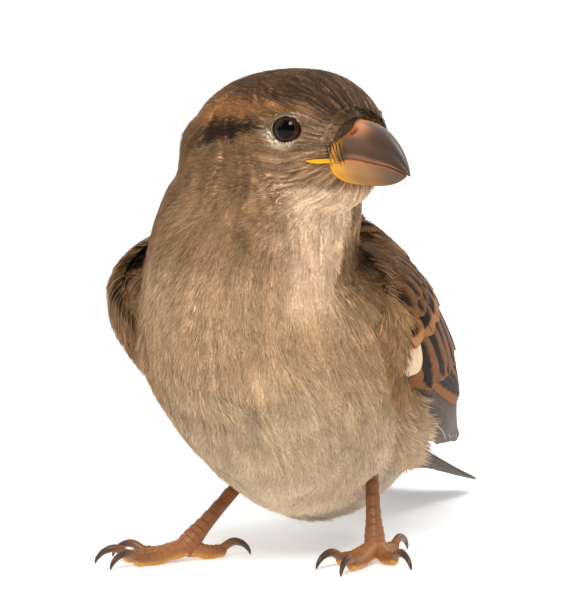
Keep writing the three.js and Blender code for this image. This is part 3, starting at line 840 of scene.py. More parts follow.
# Round the lids stand three rings of tiny pale feathers, like beads, clearest below and behind the eye.
BEADS = {"count": (46, 52, 56), "wider": (0.2, 0.42, 0.68), "length": (0.42, 0.5, 0.62),
         "pale": (1, 0.8, 0.45)}
BEAD_SHADE = np.array([0.3, 0.3, 0.9, 0.9, 1.1])
BEAD_LIFT = 0.28
bead_rng = np.random.default_rng(5)
skin_tree = BVHTree.FromPolygons(skin_bare.tolist(), skin_faces.tolist())
bead_ring = np.repeat(np.arange(3), BEADS["count"])
wider, length, paleness = [np.array(BEADS[key])[bead_ring] for key in ("wider", "length", "pale")]
for name, side in SIDES.items():
    axis, back, up = eye_axes(side)
    turns = np.concatenate([once_round(count) + 0.06 * k for k, count in enumerate(BEADS["count"])])
    turns = turns + bead_rng.normal(0, 0.02, len(turns))
    root = lid_edge(side, turns, wider) + axis * (0.1 + 0.55 * wider)[:, None]
    found = [skin_tree.find_nearest(place) for place in root.tolist()]
    root = np.array([np.array(place) + BEAD_LIFT * np.array(facing) for place, facing, _, _ in found])
    ring = unit(root - lid_edge(side, turns, wider - 0.1))
    normal = unit(axis + 0.2 * ring)
    lie = level_with(0.8 * ring + 0.55 * back, normal)
    made = fans(root, normal, lie, length, 0.13, 0.12, 0.3, 5, bead_rng, 0.09)
    below = ease(0.35 * np.cos(turns) - np.sin(turns), 0.25, 0.85)
    above = 0.5 * ease(np.sin(turns) - 0.2 * np.cos(turns), 0.5, 0.9)
    pale = mix(srgb(132, 100, 72), srgb(238, 218, 188), (below + 0.8 * above) * paleness)
    pale = pale * bead_rng.normal(1, 0.2, (len(root), 1))
    tone = pale[:, None, None] * BEAD_SHADE[:, None] * np.ones((1, 5, 1, 1))
    tufts(f"coat_eye_ring_{name}", root, made, tone)

# ---------------------------------------------------------------- bill
# A short, deep, conical seed-eater's bill of horn over bone: the upper half overhangs the lower along a
# bent cutting edge. Brown above with an orange patch near the ridge's root, part the horn's own colour and
# part painted glow of light through the horn; yellow at the root of the lower half.
BILL = {"base": 9.6, "length": 12.9, "rooted": 3.0, "half": 4.3, "line": -2.4, "hook": 0.9}
CULMEN, GONYS = {"depth": 5.6, "bow": 2.2}, {"depth": 3.1, "bow": 3.0}
EDGE_RISE = (0, 0.1, 0.66, 0.76, 0.68, 0.62, 0.62, 0.4, 0)


def cutting_edge(share):
    """How high the closed mouth's line lies, and how much of that is its rise over a plain falling line:
    level at the root, humped a quarter of the way out, and hooked down to the tip."""
    rise = run(EDGE_RISE, share, 0, 1)
    return BILL["line"] - BILL["hook"] * share**3 + rise, rise


def bill_half(share):
    """The bill's half width by the share of its length."""
    return BILL["half"] * (1 - share**1.35) ** 0.9


def bill_depth(half, share):
    """The depth of one half of the bill by the share of its length: its bow sets how late it narrows."""
    return half["depth"] * (1 - share ** half["bow"]) ** 0.9


def mandible(side, rows=80, arc=44, flat=12):
    """One half of the bill: a domed section over a flat. Half width falls as (1 - share^1.35)^0.9 and
    depth as (1 - share^bow)^0.9, less the rise of the cutting edge; the flat closes it along that edge."""
    length = BILL["length"] if side > 0 else BILL["length"] - BILL["hook"]
    ahead = length * (1 - (1 - np.linspace(0, 1, rows - 8)) ** 1.5)
    out = np.concatenate([np.linspace(-BILL["rooted"], 0, 8, endpoint=False), ahead])
    share = np.clip(out / length, 0, 0.9985)
    lean = np.linspace(0, np.pi, arc)
    half = bill_half(share) + (0.08 if side > 0 else -0.1) * (1 - share)
    line, rise = cutting_edge(share)
    height = bill_depth(CULMEN if side > 0 else GONYS, share) - side * rise
    over = np.linspace(-1, 1, flat + 2)[1:-1]
    across = np.concatenate([np.cos(lean), over])
    tall = np.concatenate([np.sin(lean) ** 0.9, np.zeros(flat)])
    inner = np.concatenate([np.zeros(arc), 1 - over**2])
    up = line[:, None] + side * (height[:, None] * tall + 0.25 * inner * (1 - share[:, None]))
    places = np.broadcast_arrays((BILL["base"] + out)[:, None], half[:, None] * across, up)
    return out, share, np.stack(places, -1), arc, lean


def bill_colours(side, share, tall):
    """The horn's colour by share of the length and by height over the cutting edge."""
    share = np.broadcast_to(share[:, None], tall.shape)
    if side > 0:
        # painted glow: the first layer's orange near the root of the ridge is part horn colour and part
        # painted light shining through the horn
        layers = [(srgb(196, 132, 82), ease(tall, 0.46, 0.8) * ease(-share, -0.5, -0.15)),
                  (srgb(62, 44, 32), ease(share, 0.3, 0.75) * 0.95),
                  (srgb(64, 46, 38), ease(tall, 0.93, 0.99) * ease(share, 0.05, 0.3) * 0.8),
                  (srgb(150, 104, 76), ease(-tall, -0.16, -0.03) * ease(share, 0.15, 0.35) * 0.6),
                  (srgb(196, 134, 40), ease(-tall, -0.66, -0.3) * ease(-share, -0.2, -0.05))]
    else:
        layers = [(srgb(146, 104, 60), ease(share, 0.05, 0.4)), (srgb(92, 68, 48), ease(share, 0.4, 0.85)),
                  (srgb(236, 166, 24), ease(-share, -0.13, 0.0) * 0.9),
                  (srgb(178, 98, 52), ease(-tall, -0.2, -0.02) * ease(share, 0.1, 0.3) * 0.5)]
    colour = srgb(80, 54, 36) if side > 0 else srgb(208, 144, 52)
    for layer, level in layers:
        colour = mix(colour, layer, level)
    return colour


def horn_finish(name, roughness, scale):
    """Keratin: the painted colour broken up by coarse and fine noise, with a thin polish over it."""
    made, shader, add = new_material(name)
    noise, fine = noise_at(add, scale, 5), noise_at(add, scale * 7)
    level = maths(add, "MULTIPLY_ADD", noise, 0.5, maths(add, "MULTIPLY_ADD", fine, 0.16, 0.67))
    painted = add("Attribute", attribute_name="markings").outputs["Color"]
    rough = add("MapRange", {"To Min": roughness - 0.08, "To Max": roughness + 0.12, "Value": noise})
    add(shader, {"Roughness": rough.outputs["Result"], "Specular IOR Level": 0.24, "Coat Weight": 0.08,
                 "Coat Roughness": 0.2, "Base Color": scaled(add, painted, level),
                 "Normal": bumped(add, 0.25, 0.00006, fine)})
    return made


horn = horn_finish("bill_horn", 0.36, 420)
NOSTRIL = {"out": 2.6, "turn": 0.86, "long": 0.55, "tall": 0.13}
for name, side in (("bill_upper", 1), ("bill_lower", -1)):
    out, share, places, arc, lean = mandible(side)
    rows, columns = places.shape[:2]
    tall = np.concatenate([np.sin(lean), np.zeros(columns - arc)])[None] * np.ones((rows, 1))
    colours = bill_colours(side, share, tall)
    if side > 0:  # the rooted part is brown, and a nostril slit is pressed in on each side near the root
        colours = mix(colours, srgb(140, 110, 84), ease(-out, -0.6, 0.4)[:, None] * np.ones((1, columns)))
        for turn in (NOSTRIL["turn"], np.pi - NOSTRIL["turn"]):
            along, around = (out[:, None] - NOSTRIL["out"]) / NOSTRIL["long"], (lean - turn) / NOSTRIL["tall"]
            dent = np.concatenate([np.exp(-(along**2) - around**2), np.zeros((rows, columns - arc))], 1)
            places[..., 2] -= 0.5 * dent
            places[..., 1] -= 0.35 * np.sign(places[..., 1]) * dent
            colours = mix(colours, srgb(120, 52, 20), np.clip(dent * 1.4, 0, 1))
    ends = np.stack([places[0].mean(0), places[-1].mean(0)])
    places = np.concatenate([places.reshape(-1, 3), ends])
    colours = np.concatenate([colours.reshape(-1, 3), colours[0, :1], colours[-1, :1]])
    faces = [corners[:, ::side] for corners in (grid_faces(rows, columns), end_caps(rows, columns))]
    build(name + "_horn", from_head(*places.T), faces, horn, colours, replaces=[name])

# Short bristly feathers lie forward over the root of the upper half and round the nostrils.


def onto_skin(points, ways, near):
    """Points brought back along their ways to the skin where it lies near, and the ways turned to face as
    the skin does there: unit sums of each way and one and a half times the skin's direction."""
    starts, backs = (points + near * ways).tolist(), (-ways).tolist()
    hits = [skin_tree.ray_cast(start, back, near)[:2] for start, back in zip(starts, backs)]
    placed = [point if hit is None else list(hit) for point, (hit, _) in zip(points.tolist(), hits)]
    facing = np.array([way if face is None else list(face) for way, (_, face) in zip(ways.tolist(), hits)])
    facing = facing * np.sign((facing * ways).sum(-1, keepdims=True))
    return np.array(placed), unit(ways + 1.5 * facing)


NASAL_COUNT, NASAL_BARBS = 1300, 7
NASAL_REACH = (-1.2, -0.4, 1.3, 2.4, 2.3, 1.5, 0.6, 1.5, 2.3, 2.4, 1.3, -0.4, -1.2)
SKIN_NEAR = 1.4
nasal_rng = np.random.default_rng(71)
turns = np.degrees(nasal_rng.uniform(0.0, np.pi, NASAL_COUNT))
reach_out = run(NASAL_REACH, turns, 0, 180)
out = reach_out - 0.55 - nasal_rng.uniform(0, 1, NASAL_COUNT) ** 1.2 * 2.6
lean, share = np.radians(turns), np.clip(out / BILL["length"], 0, 1)
cosine, sine = np.cos(lean), np.sin(lean)
line, rise = cutting_edge(share)
height = bill_depth(CULMEN, share) - rise
root = from_head(BILL["base"] + out, (bill_half(share) + 0.08) * cosine, line + height * sine**0.9)
normal = unit(np.stack([np.full(NASAL_COUNT, -0.25), cosine, sine], -1) @ HEAD_AXES)
side = np.stack([np.zeros(NASAL_COUNT), -sine, cosine], -1) @ HEAD_AXES
lie = BILLWARD + side * (0.35 * cosine + nasal_rng.normal(0, 0.18, NASAL_COUNT))[:, None] + 0.3 * normal
lie = level_with(lie, normal)
behind = np.clip((reach_out - out) / 3.0, 0, 1)
root, normal = onto_skin(root, normal, SKIN_NEAR)
lie = level_with(lie, normal)
made = fans(root + normal * (0.12 + 0.3 * behind)[:, None], normal, lie, 0.7 + 0.4 * behind, 0.2,
            0.14 + 0.14 * behind, 0.3, NASAL_BARBS, nasal_rng, 0.1)
speck = nasal_rng.uniform(0, 1, NASAL_COUNT)
tint = mix(srgb(140, 110, 84), srgb(134, 106, 80), ease(sine, 0.8, 0.97))
tint = mix(tint, srgb(56, 38, 27), 0.75 * ease(speck, 0.55, 0.8) * ease(-np.abs(out - 1.6), -2.4, -0.6))
tint = mix(tint, srgb(186, 160, 130), 0.7 * ease(-speck, -0.26, -0.18))
tint = mix(tint, 1.5 * markings(root + 0.5 * normal), 0.85 * ease(behind, 0.2, 0.6))
tone = nasal_rng.normal(1, 0.18, (NASAL_COUNT, NASAL_BARBS))[..., None] * BARB_SHADE
tufts("coat_nasal", root, made, tint[:, None, None] * tone[..., None])

# The gape: soft yellow skin that runs back from the bill's root to the corner of the mouth, in two folds,
# with stiff black bristles that curve down over the corner.
GAPE_LINE = [(7.5, 6.75, -2.55), (8.4, 6.15, -2.5), (9.3, 5.4, -2.4), (10.4, 4.6, -2.25), (11.6, 4.2, -2.1)]
GAPE_FOLDS = ((0.11, 0.15), (-0.14, 0.19))
gape_skin = horn_finish("gape_skin", 0.5, 900)
bristle_horn = horn_finish("bristle", 0.4, 900)
for name, side in SIDES.items():
    parts, share = [], np.linspace(0, 1, 26)
    for lift, size in GAPE_FOLDS:
        line = spline(GAPE_LINE, share) * (1, side, 1)
        line[:, 2] += lift * ease(share, 0.0, 0.4)
        girth = size * ease(share, -0.25, 0.35) * (1 - 0.75 * ease(share, 0.7, 1.0))
        parts.append(tube(from_head(*line.T), girth, 12))
    points, faces = joined(parts)
    tint = mix(srgb(226, 158, 10), srgb(206, 140, 40), ease(on_head(points)[:, 0], 10, 11.6))
    build(f"gape_{name}", points, faces, gape_skin, tint)
    parts = []
    for k in range(5):
        start = np.array([9.7 + 0.36 * k, 5.0 - 0.26 * k, -0.3 + 0.12 * k])
        end = np.array([11.0 + 0.44 * k, 4.8 - 0.2 * k, -2.8 + 0.35 * (k % 3)])
        line = spline([start, (start + end) / 2 + (0.5, 0.55, 0.3), end], np.linspace(0, 1, 14))
        parts.append(tube(from_head(*(line * (1, side, 1)).T), np.linspace(0.09, 0.035, 14), 6))
    points, faces = joined(parts)
    tint = np.ones((len(points), 3)) * srgb(18, 12, 12)
    build(f"bristles_{name}", points, faces, bristle_horn, tint)

# ---------------------------------------------------------------- wings
# Each folded wing is laid with its real feathers: primaries and secondaries at the bottom, tertials and
# coverts over them, row on row like tiles. A vane is a thin curved blade on either side of a pale shaft.
STEEP = 0.8
VANE_ROWS, VANE_COLUMNS = 20, 11
VANE_ACROSS = np.linspace(-1, 1, VANE_COLUMNS)[None]
FLANK_LINE = np.array([(-34, 8), (-24, 12.5), (-20, 14.5), (-16, 17.2), (-12, 20), (-8, 22.6), (-4, 25.2),
                       (0, 27.2), (4, 31), (8, 40)])
BREAST_LINE = np.array([(26, 0), (31.5, 4.5), (33.5, 6), (36, 5.5), (40, 8), (43, 8), (44, 7), (46, 0),
                        (48, -6)])


def wing_point(side, forward, up, out):
    """A point on the folded wing's outside from where it shows in a side view: the section whose middle
    lies that far forward, at the angle whose sine is the rise over the section's own reach. Beyond a steep
    sine the angle grows evenly with the rise, so that vanes run on over the back unstretched."""
    shares = np.linspace(0, 1, 400)
    share = np.interp(-forward, -spline(WING, shares)[:, 0], shares)
    run = spline(WING, share)
    level = (up - run[..., 1]) / run[..., 3]
    angle = np.minimum(np.arcsin(np.clip(level, -0.97, STEEP)) + np.maximum(0, level - STEEP), 1.4)
    left = side * (run[..., 2] + out) * np.cos(angle)
    return at(left, forward, run[..., 1] + (run[..., 3] + out) * np.sin(angle))


def lapped(side, forward, up):
    """How many mm a place on the wing lies under the body's feathers: below the flank's line, which gives
    the height by the place forward, or ahead of the breast's, which gives the place by the height."""
    ahead = forward - np.interp(up, *BREAST_LINE.T) + (2.5 * ease(up, 33, 35) if side < 0 else 0)
    return np.maximum(np.interp(forward, *FLANK_LINE.T) - up, ahead)


def vane_outline(blunt):
    """A vane's half width along its length: it opens with the root of the share over the first fifth and
    closes as a round tip, blunter where blunt is larger."""
    along = np.linspace(0, 1, VANE_ROWS) ** 0.85
    opened = np.sqrt(np.clip(along / 0.22, 0, 1)) * 0.92 + 0.08
    tip = np.clip((along - blunt) / (1 - blunt), 0, 1)
    return along[:, None], (opened * np.sqrt(np.clip(1 - tip**2.2, 0.0, 1)) + 0.01)[:, None]


def fray_of(along, ragged, rng):
    """How much longer or shorter each line of a vane runs: by chance, growing fast towards the tip."""
    return 1 + ragged * rng.normal(0, 1, VANE_COLUMNS)[None] * along**6


def laid(side, feathers, rng, blunt=0.72, ragged=0.03):
    """A row of vanes on one wing. Each is given by root and tip in the side view, its half widths above
    and below the shaft, and how far root and tip stand out. The shaft is a straight run with a slight sag."""
    along, wide = vane_outline(blunt)
    vanes = []
    for root, tip, upper, lower, out, sag in feathers:
        root, tip = np.array(root, float), np.array(tip, float)
        heading = unit(tip - root)
        square = np.array([-heading[1], heading[0]])
        square = square if square[1] > 0 else -square
        half = np.where(VANE_ACROSS > 0, upper, lower) * VANE_ACROSS * wide
        reach = np.linalg.norm(tip - root) * along * fray_of(along, ragged, rng)
        reach = reach - 0.12 * np.abs(half) * (along > 0)
        flat = root + heading * reach[..., None] + square * (half - sag * 4 * along * (1 - along))[..., None]
        stand = out[0] + (out[1] - out[0]) * along + 0.10 * (1 - VANE_ACROSS**2) + 0.12 * VANE_ACROSS
        stand = stand - 1.1 * ease(lapped(side, flat[..., 0], flat[..., 1]), -1.5, 1.0)
        vanes.append(wing_point(side, flat[..., 0], flat[..., 1], stand))
    return vanes


def vane_finish(name, centre, edge, tip, shaft, width, soft=0.16, tip_from=0.9, barbs=90, gloss=0.6):
    """A vane's pattern on its own map: a dark centre that narrows to the tip between coloured edges, a
    pale shaft, slanting barbs as fine light and dark lines, and each feather a little lighter or darker."""
    made, shader, add = new_material(name)
    centre, edge, tip, shaft = [srgb(*levels) for levels in (centre, edge, tip, shaft)]
    flat = add("SeparateXYZ", {"Vector": add("UVMap", uv_map="vane").outputs["UV"]})
    from_shaft = maths(add, "ABSOLUTE", maths(add, "MULTIPLY_ADD", flat.outputs["X"], 2.0, -1.0))
    along, noise = flat.outputs["Y"], noise_at(add, 900, 3)
    wander = maths(add, "MULTIPLY_ADD", noise, 0.36, -0.18)
    narrowed = maths(add, "MULTIPLY_ADD", maths(add, "POWER", along, 3.0), width * 0.9, from_shaft)
    mask = smooth_between(add, maths(add, "ADD", narrowed, wander), width - soft, width + soft)
    colour = blend(add, mask, centre, edge)
    colour = blend(add, smooth_between(add, along, tip_from - 0.06, tip_from + 0.06), colour, tip)
    slant = maths(add, "MULTIPLY_ADD", from_shaft, -0.16, along)
    swayed = maths(add, "MULTIPLY_ADD", slant, barbs * 2 * np.pi, maths(add, "MULTIPLY", noise, 5.0))
    lines = maths(add, "SINE", swayed)
    level = maths(add, "MULTIPLY_ADD", lines, 0.10, maths(add, "MULTIPLY_ADD", noise, 0.4, 0.8))
    shafted = smooth_between(add, from_shaft, 0.075, 0.03)
    colour = blend(add, maths(add, "MULTIPLY", shafted, 0.8), colour, shaft)
    painted = add("Attribute", attribute_name="markings").outputs["Color"]
    toned = add("VectorMath", {0: colour, 1: painted}, operation="MULTIPLY").outputs["Vector"]
    raised = maths(add, "MULTIPLY_ADD", shafted, 3.0, lines)
    add(shader, {"Roughness": gloss, "Specular IOR Level": 0.08, "Base Color": scaled(add, toned, level),
                 "Normal": bumped(add, 0.5, 0.00005, raised)})
    return made


def vane_piece(name, vanes, blunt, material, rng, replaces=(), thick=0.1, side=1):
    """A joined piece of vanes: each has the same map of its own, a cell in a square sheet for the colours
    baked from its pattern, and a tone. They get a slight thickness."""
    count, size = len(vanes), VANE_ROWS * VANE_COLUMNS
    number = np.repeat(np.arange(count), size)
    one = grid_faces(VANE_ROWS, VANE_COLUMNS, False)[:, ::side]
    faces = np.concatenate([one + k * size for k in range(count)])
    flat = np.stack(np.broadcast_arrays(VANE_ACROSS * 0.5 + 0.5, vane_outline(blunt)[0]), -1).reshape(-1, 2)
    flat = np.tile(flat, (count, 1))
    across = int(np.ceil(np.sqrt(count)))
    sheet = (np.stack([number % across, number // across], -1) + 0.04 + 0.92 * flat) / across
    tone = np.clip(rng.normal(1, 0.07, (count, 1)), 0.7, 1.3)[number] * np.ones((1, 3))
    maps = {"vane": flat, "OFBake": sheet}
    piece = build(name, np.array(vanes), faces, material, tone, maps, replaces)
    wall = piece.modifiers.new("thickness", "SOLIDIFY")
    wall.thickness, wall.offset = thick / 1000, -1


def row(rng, first, last, count, reach, headings, upper, lower, out, order=0.05, sag=0.0):
    """A row of like feathers: roots evenly from first to last, each running out its reach at a heading in
    degrees under the level, each lifted a little over the one before."""
    share = np.linspace(0, 1, count)
    starts = np.array(first) + (np.array(last) - np.array(first)) * share[:, None]
    angle = np.radians(np.interp(share, [0, 1], headings) + rng.normal(0, 1.6, count))
    ends = starts - np.stack([np.cos(angle), np.sin(angle)], -1) * np.interp(share, [0, 1], reach)[:, None]
    return [(start, end, upper, lower, (out[0] + order * k, out[1] + order * k), sag)
            for k, (start, end) in enumerate(zip(starts, ends))]


VANE_PATTERNS = {  # screen levels of centre, edge, tip and shaft; the centre's width, how soft its border
    # is, where the tip's colour starts, how many barbs, and where given the roughness
    "primary": ((88, 72, 60), (100, 82, 68), (76, 62, 52), (176, 158, 136), 0.82, 0.1, 0.97, 120, 0.5),
    "secondary": ((42, 32, 26), (140, 88, 46), (134, 98, 66), (60, 46, 36), 0.5, 0.14, 0.96, 110),
    "covert": ((32, 24, 19), (124, 80, 46), (142, 102, 64), (44, 32, 26), 0.56, 0.18, 0.96, 60),
    "median": ((32, 24, 19), (128, 84, 48), (166, 116, 72), (40, 30, 24), 0.74, 0.22, 0.72, 40),
    "pale": ((60, 44, 34), (214, 188, 154), (214, 188, 154), (150, 122, 96), 0.4, 0.3, 0.45, 40),
    "lesser": ((44, 32, 24), (116, 80, 48), (126, 88, 54), (44, 32, 26), 0.5, 0.3, 0.9, 30),
    "mantle": ((40, 30, 24), (142, 106, 68), (120, 86, 54), (36, 28, 22), 0.45, 0.22, 0.96, 40),
}
VANES = {name: vane_finish(name + "_vane", *pattern) for name, pattern in VANE_PATTERNS.items()}
WING_ROWS = {  # each one's pattern, how blunt and ragged its vanes are, and for each line of them the first
    # and last root, count, reach, headings, half widths over and under the shaft, how far root and tip
    # stand out, lift from vane to vane, sag
    "secondaries": ("secondary", 0.78, 0.012, [
        ((-2, 29.5), (-13, 38), 8, (25, 25), (19, 31), 2.6, 2.0, (-1.0, -0.35), 0.06, 0.5)]),
    "tertials": ("covert", 0.6, 0.015, [
        ((-9, 38), (-14, 42.5), 4, (25, 15), (31, 38), 3.6, 3.6, (-0.5, 0.0), 0.1, 0.3)]),
    "greater_coverts": ("covert", 0.7, 0.02, [
        ((5.6, 31.6), (-10, 43.0), 9, (12, 19), (40, 35), 2.3, 1.9, (-0.75, 0.0), 0.05, 0.3)]),
    "wing_bar": ("pale", 0.45, 0.02, [
        ((6.6, 34.2), (5.2, 33.2), 2, (8.2, 7.6), (50, 52), 1.3, 1.2, (-0.3, 0.35), 0.08, 0.1)]),
    "median_coverts": ("median", 0.5, 0.03, [
        ((8.0, 37.0), (-4.0, 45.5), 6, (6.4, 7.4), (50, 40), 2.3, 2.0, (-0.35, 0.25), 0.04, 0.1)]),
    "lesser_coverts": ("lesser", 0.5, 0.04, [
        ((8.6, 39.4), (0.5, 45.6), 6, (4.8, 5.4), (50, 40), 1.8, 1.6, (-0.25, 0.25), 0.02, 0.05),
        ((9.0, 41.4), (3.0, 45.6), 5, (4.8, 5.4), (50, 40), 1.8, 1.6, (-0.2, 0.29), 0.02, 0.05)]),
}

for name, side in SIDES.items():
    rng = np.random.default_rng(40 + side)
    feathers = []
    for k, t in enumerate(np.linspace(0, 1, 9)):  # primaries, the longest at the tip
        feathers.append(((-1 - 9 * t, 24.5 - 1.5 * t), (-33 - 21.6 * t**0.8, 13.6 - 2.2 * t), 2.5, 1.5,
                         (-1.3 + 0.03 * k, -0.55 + 0.05 * k), 0.6))
    vane_piece(f"primaries_{name}", laid(side, feathers, rng, 0.8, 0.01), 0.8, VANES["primary"], rng,
               [f"wing_{name}_primaries"], side=side)
    for kind, (pattern, blunt, ragged, rows) in WING_ROWS.items():
        feathers = [feather for values in rows for feather in row(rng, *values)]
        vane_piece(f"{kind}_{name}", laid(side, feathers, rng, blunt, ragged), blunt, VANES[pattern], rng,
                   [f"wing_{name}_tertials"] if kind == "secondaries" else (), side=side)


def flank_colours(points):
    """The side's colours: brown beside the breast, paler with the depth below the wing's middle."""
    patch = ripple(points, 3.0, 3)
    colour = mix(srgb(150, 114, 78), srgb(182, 156, 124), ease(-points[:, 2] + patch, -27, -17))
    return colour * (1 + 0.08 * patch)[:, None]


# The breast's and the flank's soft feathers lap over the folded wing's front and lower edge.
SIDE_TUFTS, SIDE_OUT = 9000, -0.55
for name, side in SIDES.items():
    rng = np.random.default_rng(90 + side)
    count = int(SIDE_TUFTS * DENSITY)
    forward, up = rng.uniform(-30, 11, count), rng.uniform(12, 47, count)
    middle, rise = [np.interp(-forward, -WING[:, 0], WING[:, k]) for k in (1, 3)]
    kept = lapped(side, forward, up) > 1.3 + rng.normal(0, 0.5, count)
    kept &= (np.abs(up - middle) < 0.93 * rise) & (forward < 8.8)
    forward, up = forward[kept], up[kept]
    root = wing_point(side, forward, up, SIDE_OUT)
    aft = wing_point(side, forward - 0.5, up, SIDE_OUT) - root
    sunk = wing_point(side, forward, up - 0.5, SIDE_OUT) - root
    normal = unit(np.cross(sunk, aft) * side)
    steep = np.radians(34 + 26 * ease(forward, -12, 4) + rng.normal(0, 5, len(forward)))[:, None]
    lie = level_with(unit(unit(aft) * np.cos(steep) + unit(sunk) * np.sin(steep)), normal)
    coat_piece(f"coat_side_{name}", (root, normal, lie), rng, flank_colours)

# Over the back lie the mantle's feathers, and beside it the larger scapulars that bridge to the wings.
SHARE_FOR_1MM = 0.0104
BACK_BLUNT = 0.6


def laid_on_back(feathers, rng, ragged=0.03):
    """Vanes over the back, each given by the share and turn of its root on the trunk's surface, a drift of
    the turn, its length and half width in mm, and how far it stands out. Each runs to smaller shares, its
    width taken as an angle over the distance from the trunk's middle line."""
    along, wide = vane_outline(BACK_BLUNT)
    vanes = []
    for share, turn, drift, length, half, out in feathers:
        place = np.clip(share - SHARE_FOR_1MM * length * along * fray_of(along, ragged, rng), 0, 1)
        middle = at(*np.moveaxis(spline(BODY[:, :3], place), -1, 0))
        swing = np.broadcast_to(turn + drift * along, place.shape)
        reach = np.linalg.norm(body_surface(place, np.radians(swing)) - middle, axis=-1)
        surface = body_surface(place, np.radians(swing) + half * VANE_ACROSS * wide / reach)
        stand = out[0] + (out[1] - out[0]) * along + 0.25 * (1 - VANE_ACROSS**2)
        vanes.append(surface + unit(surface - middle) * stand[..., None])
    return vanes


mantle_rng = np.random.default_rng(81)
feathers = []
for step, share in enumerate(np.linspace(0.50, 0.735, 6)):
    for k, t in enumerate(np.linspace(-1, 1, 9 + step % 2)):
        turn = (share + mantle_rng.normal(0, 0.006), 90 + t * (62 - 3 * step) + mantle_rng.normal(0, 1.5))
        feathers.append((*turn, 3 * t, 9.0 - 0.4 * step, 1.9, (-0.8 + 0.05 * (k % 2), 0.4 + 0.05 * (k % 2))))
vane_piece("mantle", laid_on_back(feathers, mantle_rng), BACK_BLUNT, VANES["mantle"], mantle_rng)
for name, side in SIDES.items():
    feathers = [(share, 90 - side * (40 + 20 * t - 4 * step), side * -4, 13 - step, 2.7,
                 (-0.6 + 0.05 * step, 0.6 + 0.05 * step))
                for step, share in enumerate(np.linspace(0.50, 0.62, 4)) for t in np.linspace(0, 1, 3)]
    vanes = laid_on_back(feathers, mantle_rng)
    vane_piece(f"scapulars_{name}", vanes, BACK_BLUNT, VANES["covert"], mantle_rng)

# ---------------------------------------------------------------- tail
# Twelve stiff quills, the middle pair on top, closed into a flat wedge that is notched at the end and
# just reaches the floor.
TAIL_ROOT, TAIL_TIP, TAIL_NOTCH, TAIL_BLUNT = np.array((-38.0, 14.0)), np.array((-73.0, 1.75)), 2.0, 0.86
QUILLS, QUILL_HALF, QUILL_LIFT = 12, 2.5, 0.085
tail_finish = vane_finish("tail_vane", (58, 46, 38), (92, 74, 58), (74, 60, 48), (46, 36, 30),
                          0.7, 0.14, 0.97, 150, 0.42)
along, wide = vane_outline(TAIL_BLUNT)
places, vanes = np.linspace(-1, 1, QUILLS), []
for number, k in enumerate(np.argsort(-np.abs(places), kind="stable")):
    out = places[k]
    half = QUILL_HALF * VANE_ACROSS * wide * (1 + 0.25 * np.sign(out) * VANE_ACROSS * abs(out))
    left = out * (3.2 + 3.3 * along**0.8) + half * 0.98
    length, drop = TAIL_TIP - TAIL_ROOT
    forward = TAIL_ROOT[0] + (length + TAIL_NOTCH * (1 - abs(out))) * along + 0.1 * np.abs(half)
    arch = 1.1 * (1 - np.clip(np.abs(left) / 8.6, 0, 1) ** 2) + 0.1 * (1 - VANE_ACROSS**2)
    vanes.append(at(left, forward, TAIL_ROOT[1] + drop * along**0.9 + arch + QUILL_LIFT * number - 0.45))
vane_piece("tail_quills", vanes, TAIL_BLUNT, tail_finish, np.random.default_rng(60), ["tail"], 0.12, side=-1)

# ---------------------------------------------------------------- legs
# Thin brown shanks sheathed in overlapping scutes, toes with a yellow pad under each joint, and dark
# curved claws. All of them rest on the floor.
LEGS = {  # the foot's place on the floor, the hip's, and the heading and reach of each toe with its claw
    "left": ((13.0, -6.0), (10.0, -13.0, 16.0), ((172, 10.5), (-30, 10.8), (-2, 13.8), (50, 9.2))),
    "right": ((-12.5, 2.8), (-5.0, -8.0, 13.5), ((138, 10.2), (-34, 12.6), (-60, 12.6), (-88, 10.6))),
}
JOINT_UP, SOLE, CLAW_REACH, FLOOR_GAP = 2.1, 0.9, 4.2, 0.02
SHANK_RADII, TOE_RADII = (1.3, 1.0, 1.1, 1.45, 1.5), (1.25, 1.1, 1.0, 0.9, 0.62)
CLAW_RADII = (0.62, 0.6, 0.46, 0.3, 0.1)
TOE_LINE = ((0.3, 1.55), (0.62, SOLE + 0.12), (0.92, SOLE + 0.15), (1.06, 1.25))  # share of its length, up
CLAW_LINE = ((-0.5, 1.25), (1.3, 2.15), (2.9, 1.8), (3.9, 0.9), (4.25, 0.12))  # mm past the toe, up


def limb(line, radii, rows, sides, scutes, ridge, pads=0, pad=0.0):
    """A scaly limb along a smooth line: its points and faces, and for each point how far up it faces, its
    share of the length and its place in its scute. Each section is round; over its upper half the radius
    steps down within every scute like tiles, and under it swells with the square of a sine at every pad."""
    share = np.linspace(0, 1, rows)
    middle = at(*spline(line, share).T)
    onward = unit(np.gradient(middle, axis=0))
    side = unit(np.cross([[0, 0, 1.0]], onward))
    turn = once_round(sides)[None]
    sine, saw = np.sin(turn) * np.ones((rows, 1)), (share * scutes)[:, None] % 1
    reach = spline(np.array(radii)[:, None], share) + ridge * (0.5 - saw) * np.clip(sine * 2 + 0.6, 0, 1)
    reach = reach + pad * (np.sin(np.pi * share * pads) ** 2)[:, None] * np.clip(-sine, 0, 1)
    across = side[:, None] * (np.cos(turn) * reach)[..., None]
    points = middle[:, None] + across + np.cross(onward, side)[:, None] * (sine * reach)[..., None]
    points[..., 2] = np.maximum(points[..., 2], FLOOR_GAP)
    points = np.concatenate([points.reshape(-1, 3), middle[:1], middle[-1:]])
    faces = [grid_faces(rows, sides), end_caps(rows, sides)]
    return (points, faces, np.append(sine, [0, 0]), np.append(np.repeat(share, sides), [0, 1]),
            np.append(np.repeat(saw, sides), [0.5, 0.5]))


def outward(foot, heading, reach, up):
    """A point over the floor, a reach out from the foot's middle along a heading left of straight ahead."""
    heading = np.radians(heading)
    return foot[0] + reach * np.sin(heading), foot[1] + reach * np.cos(heading), up


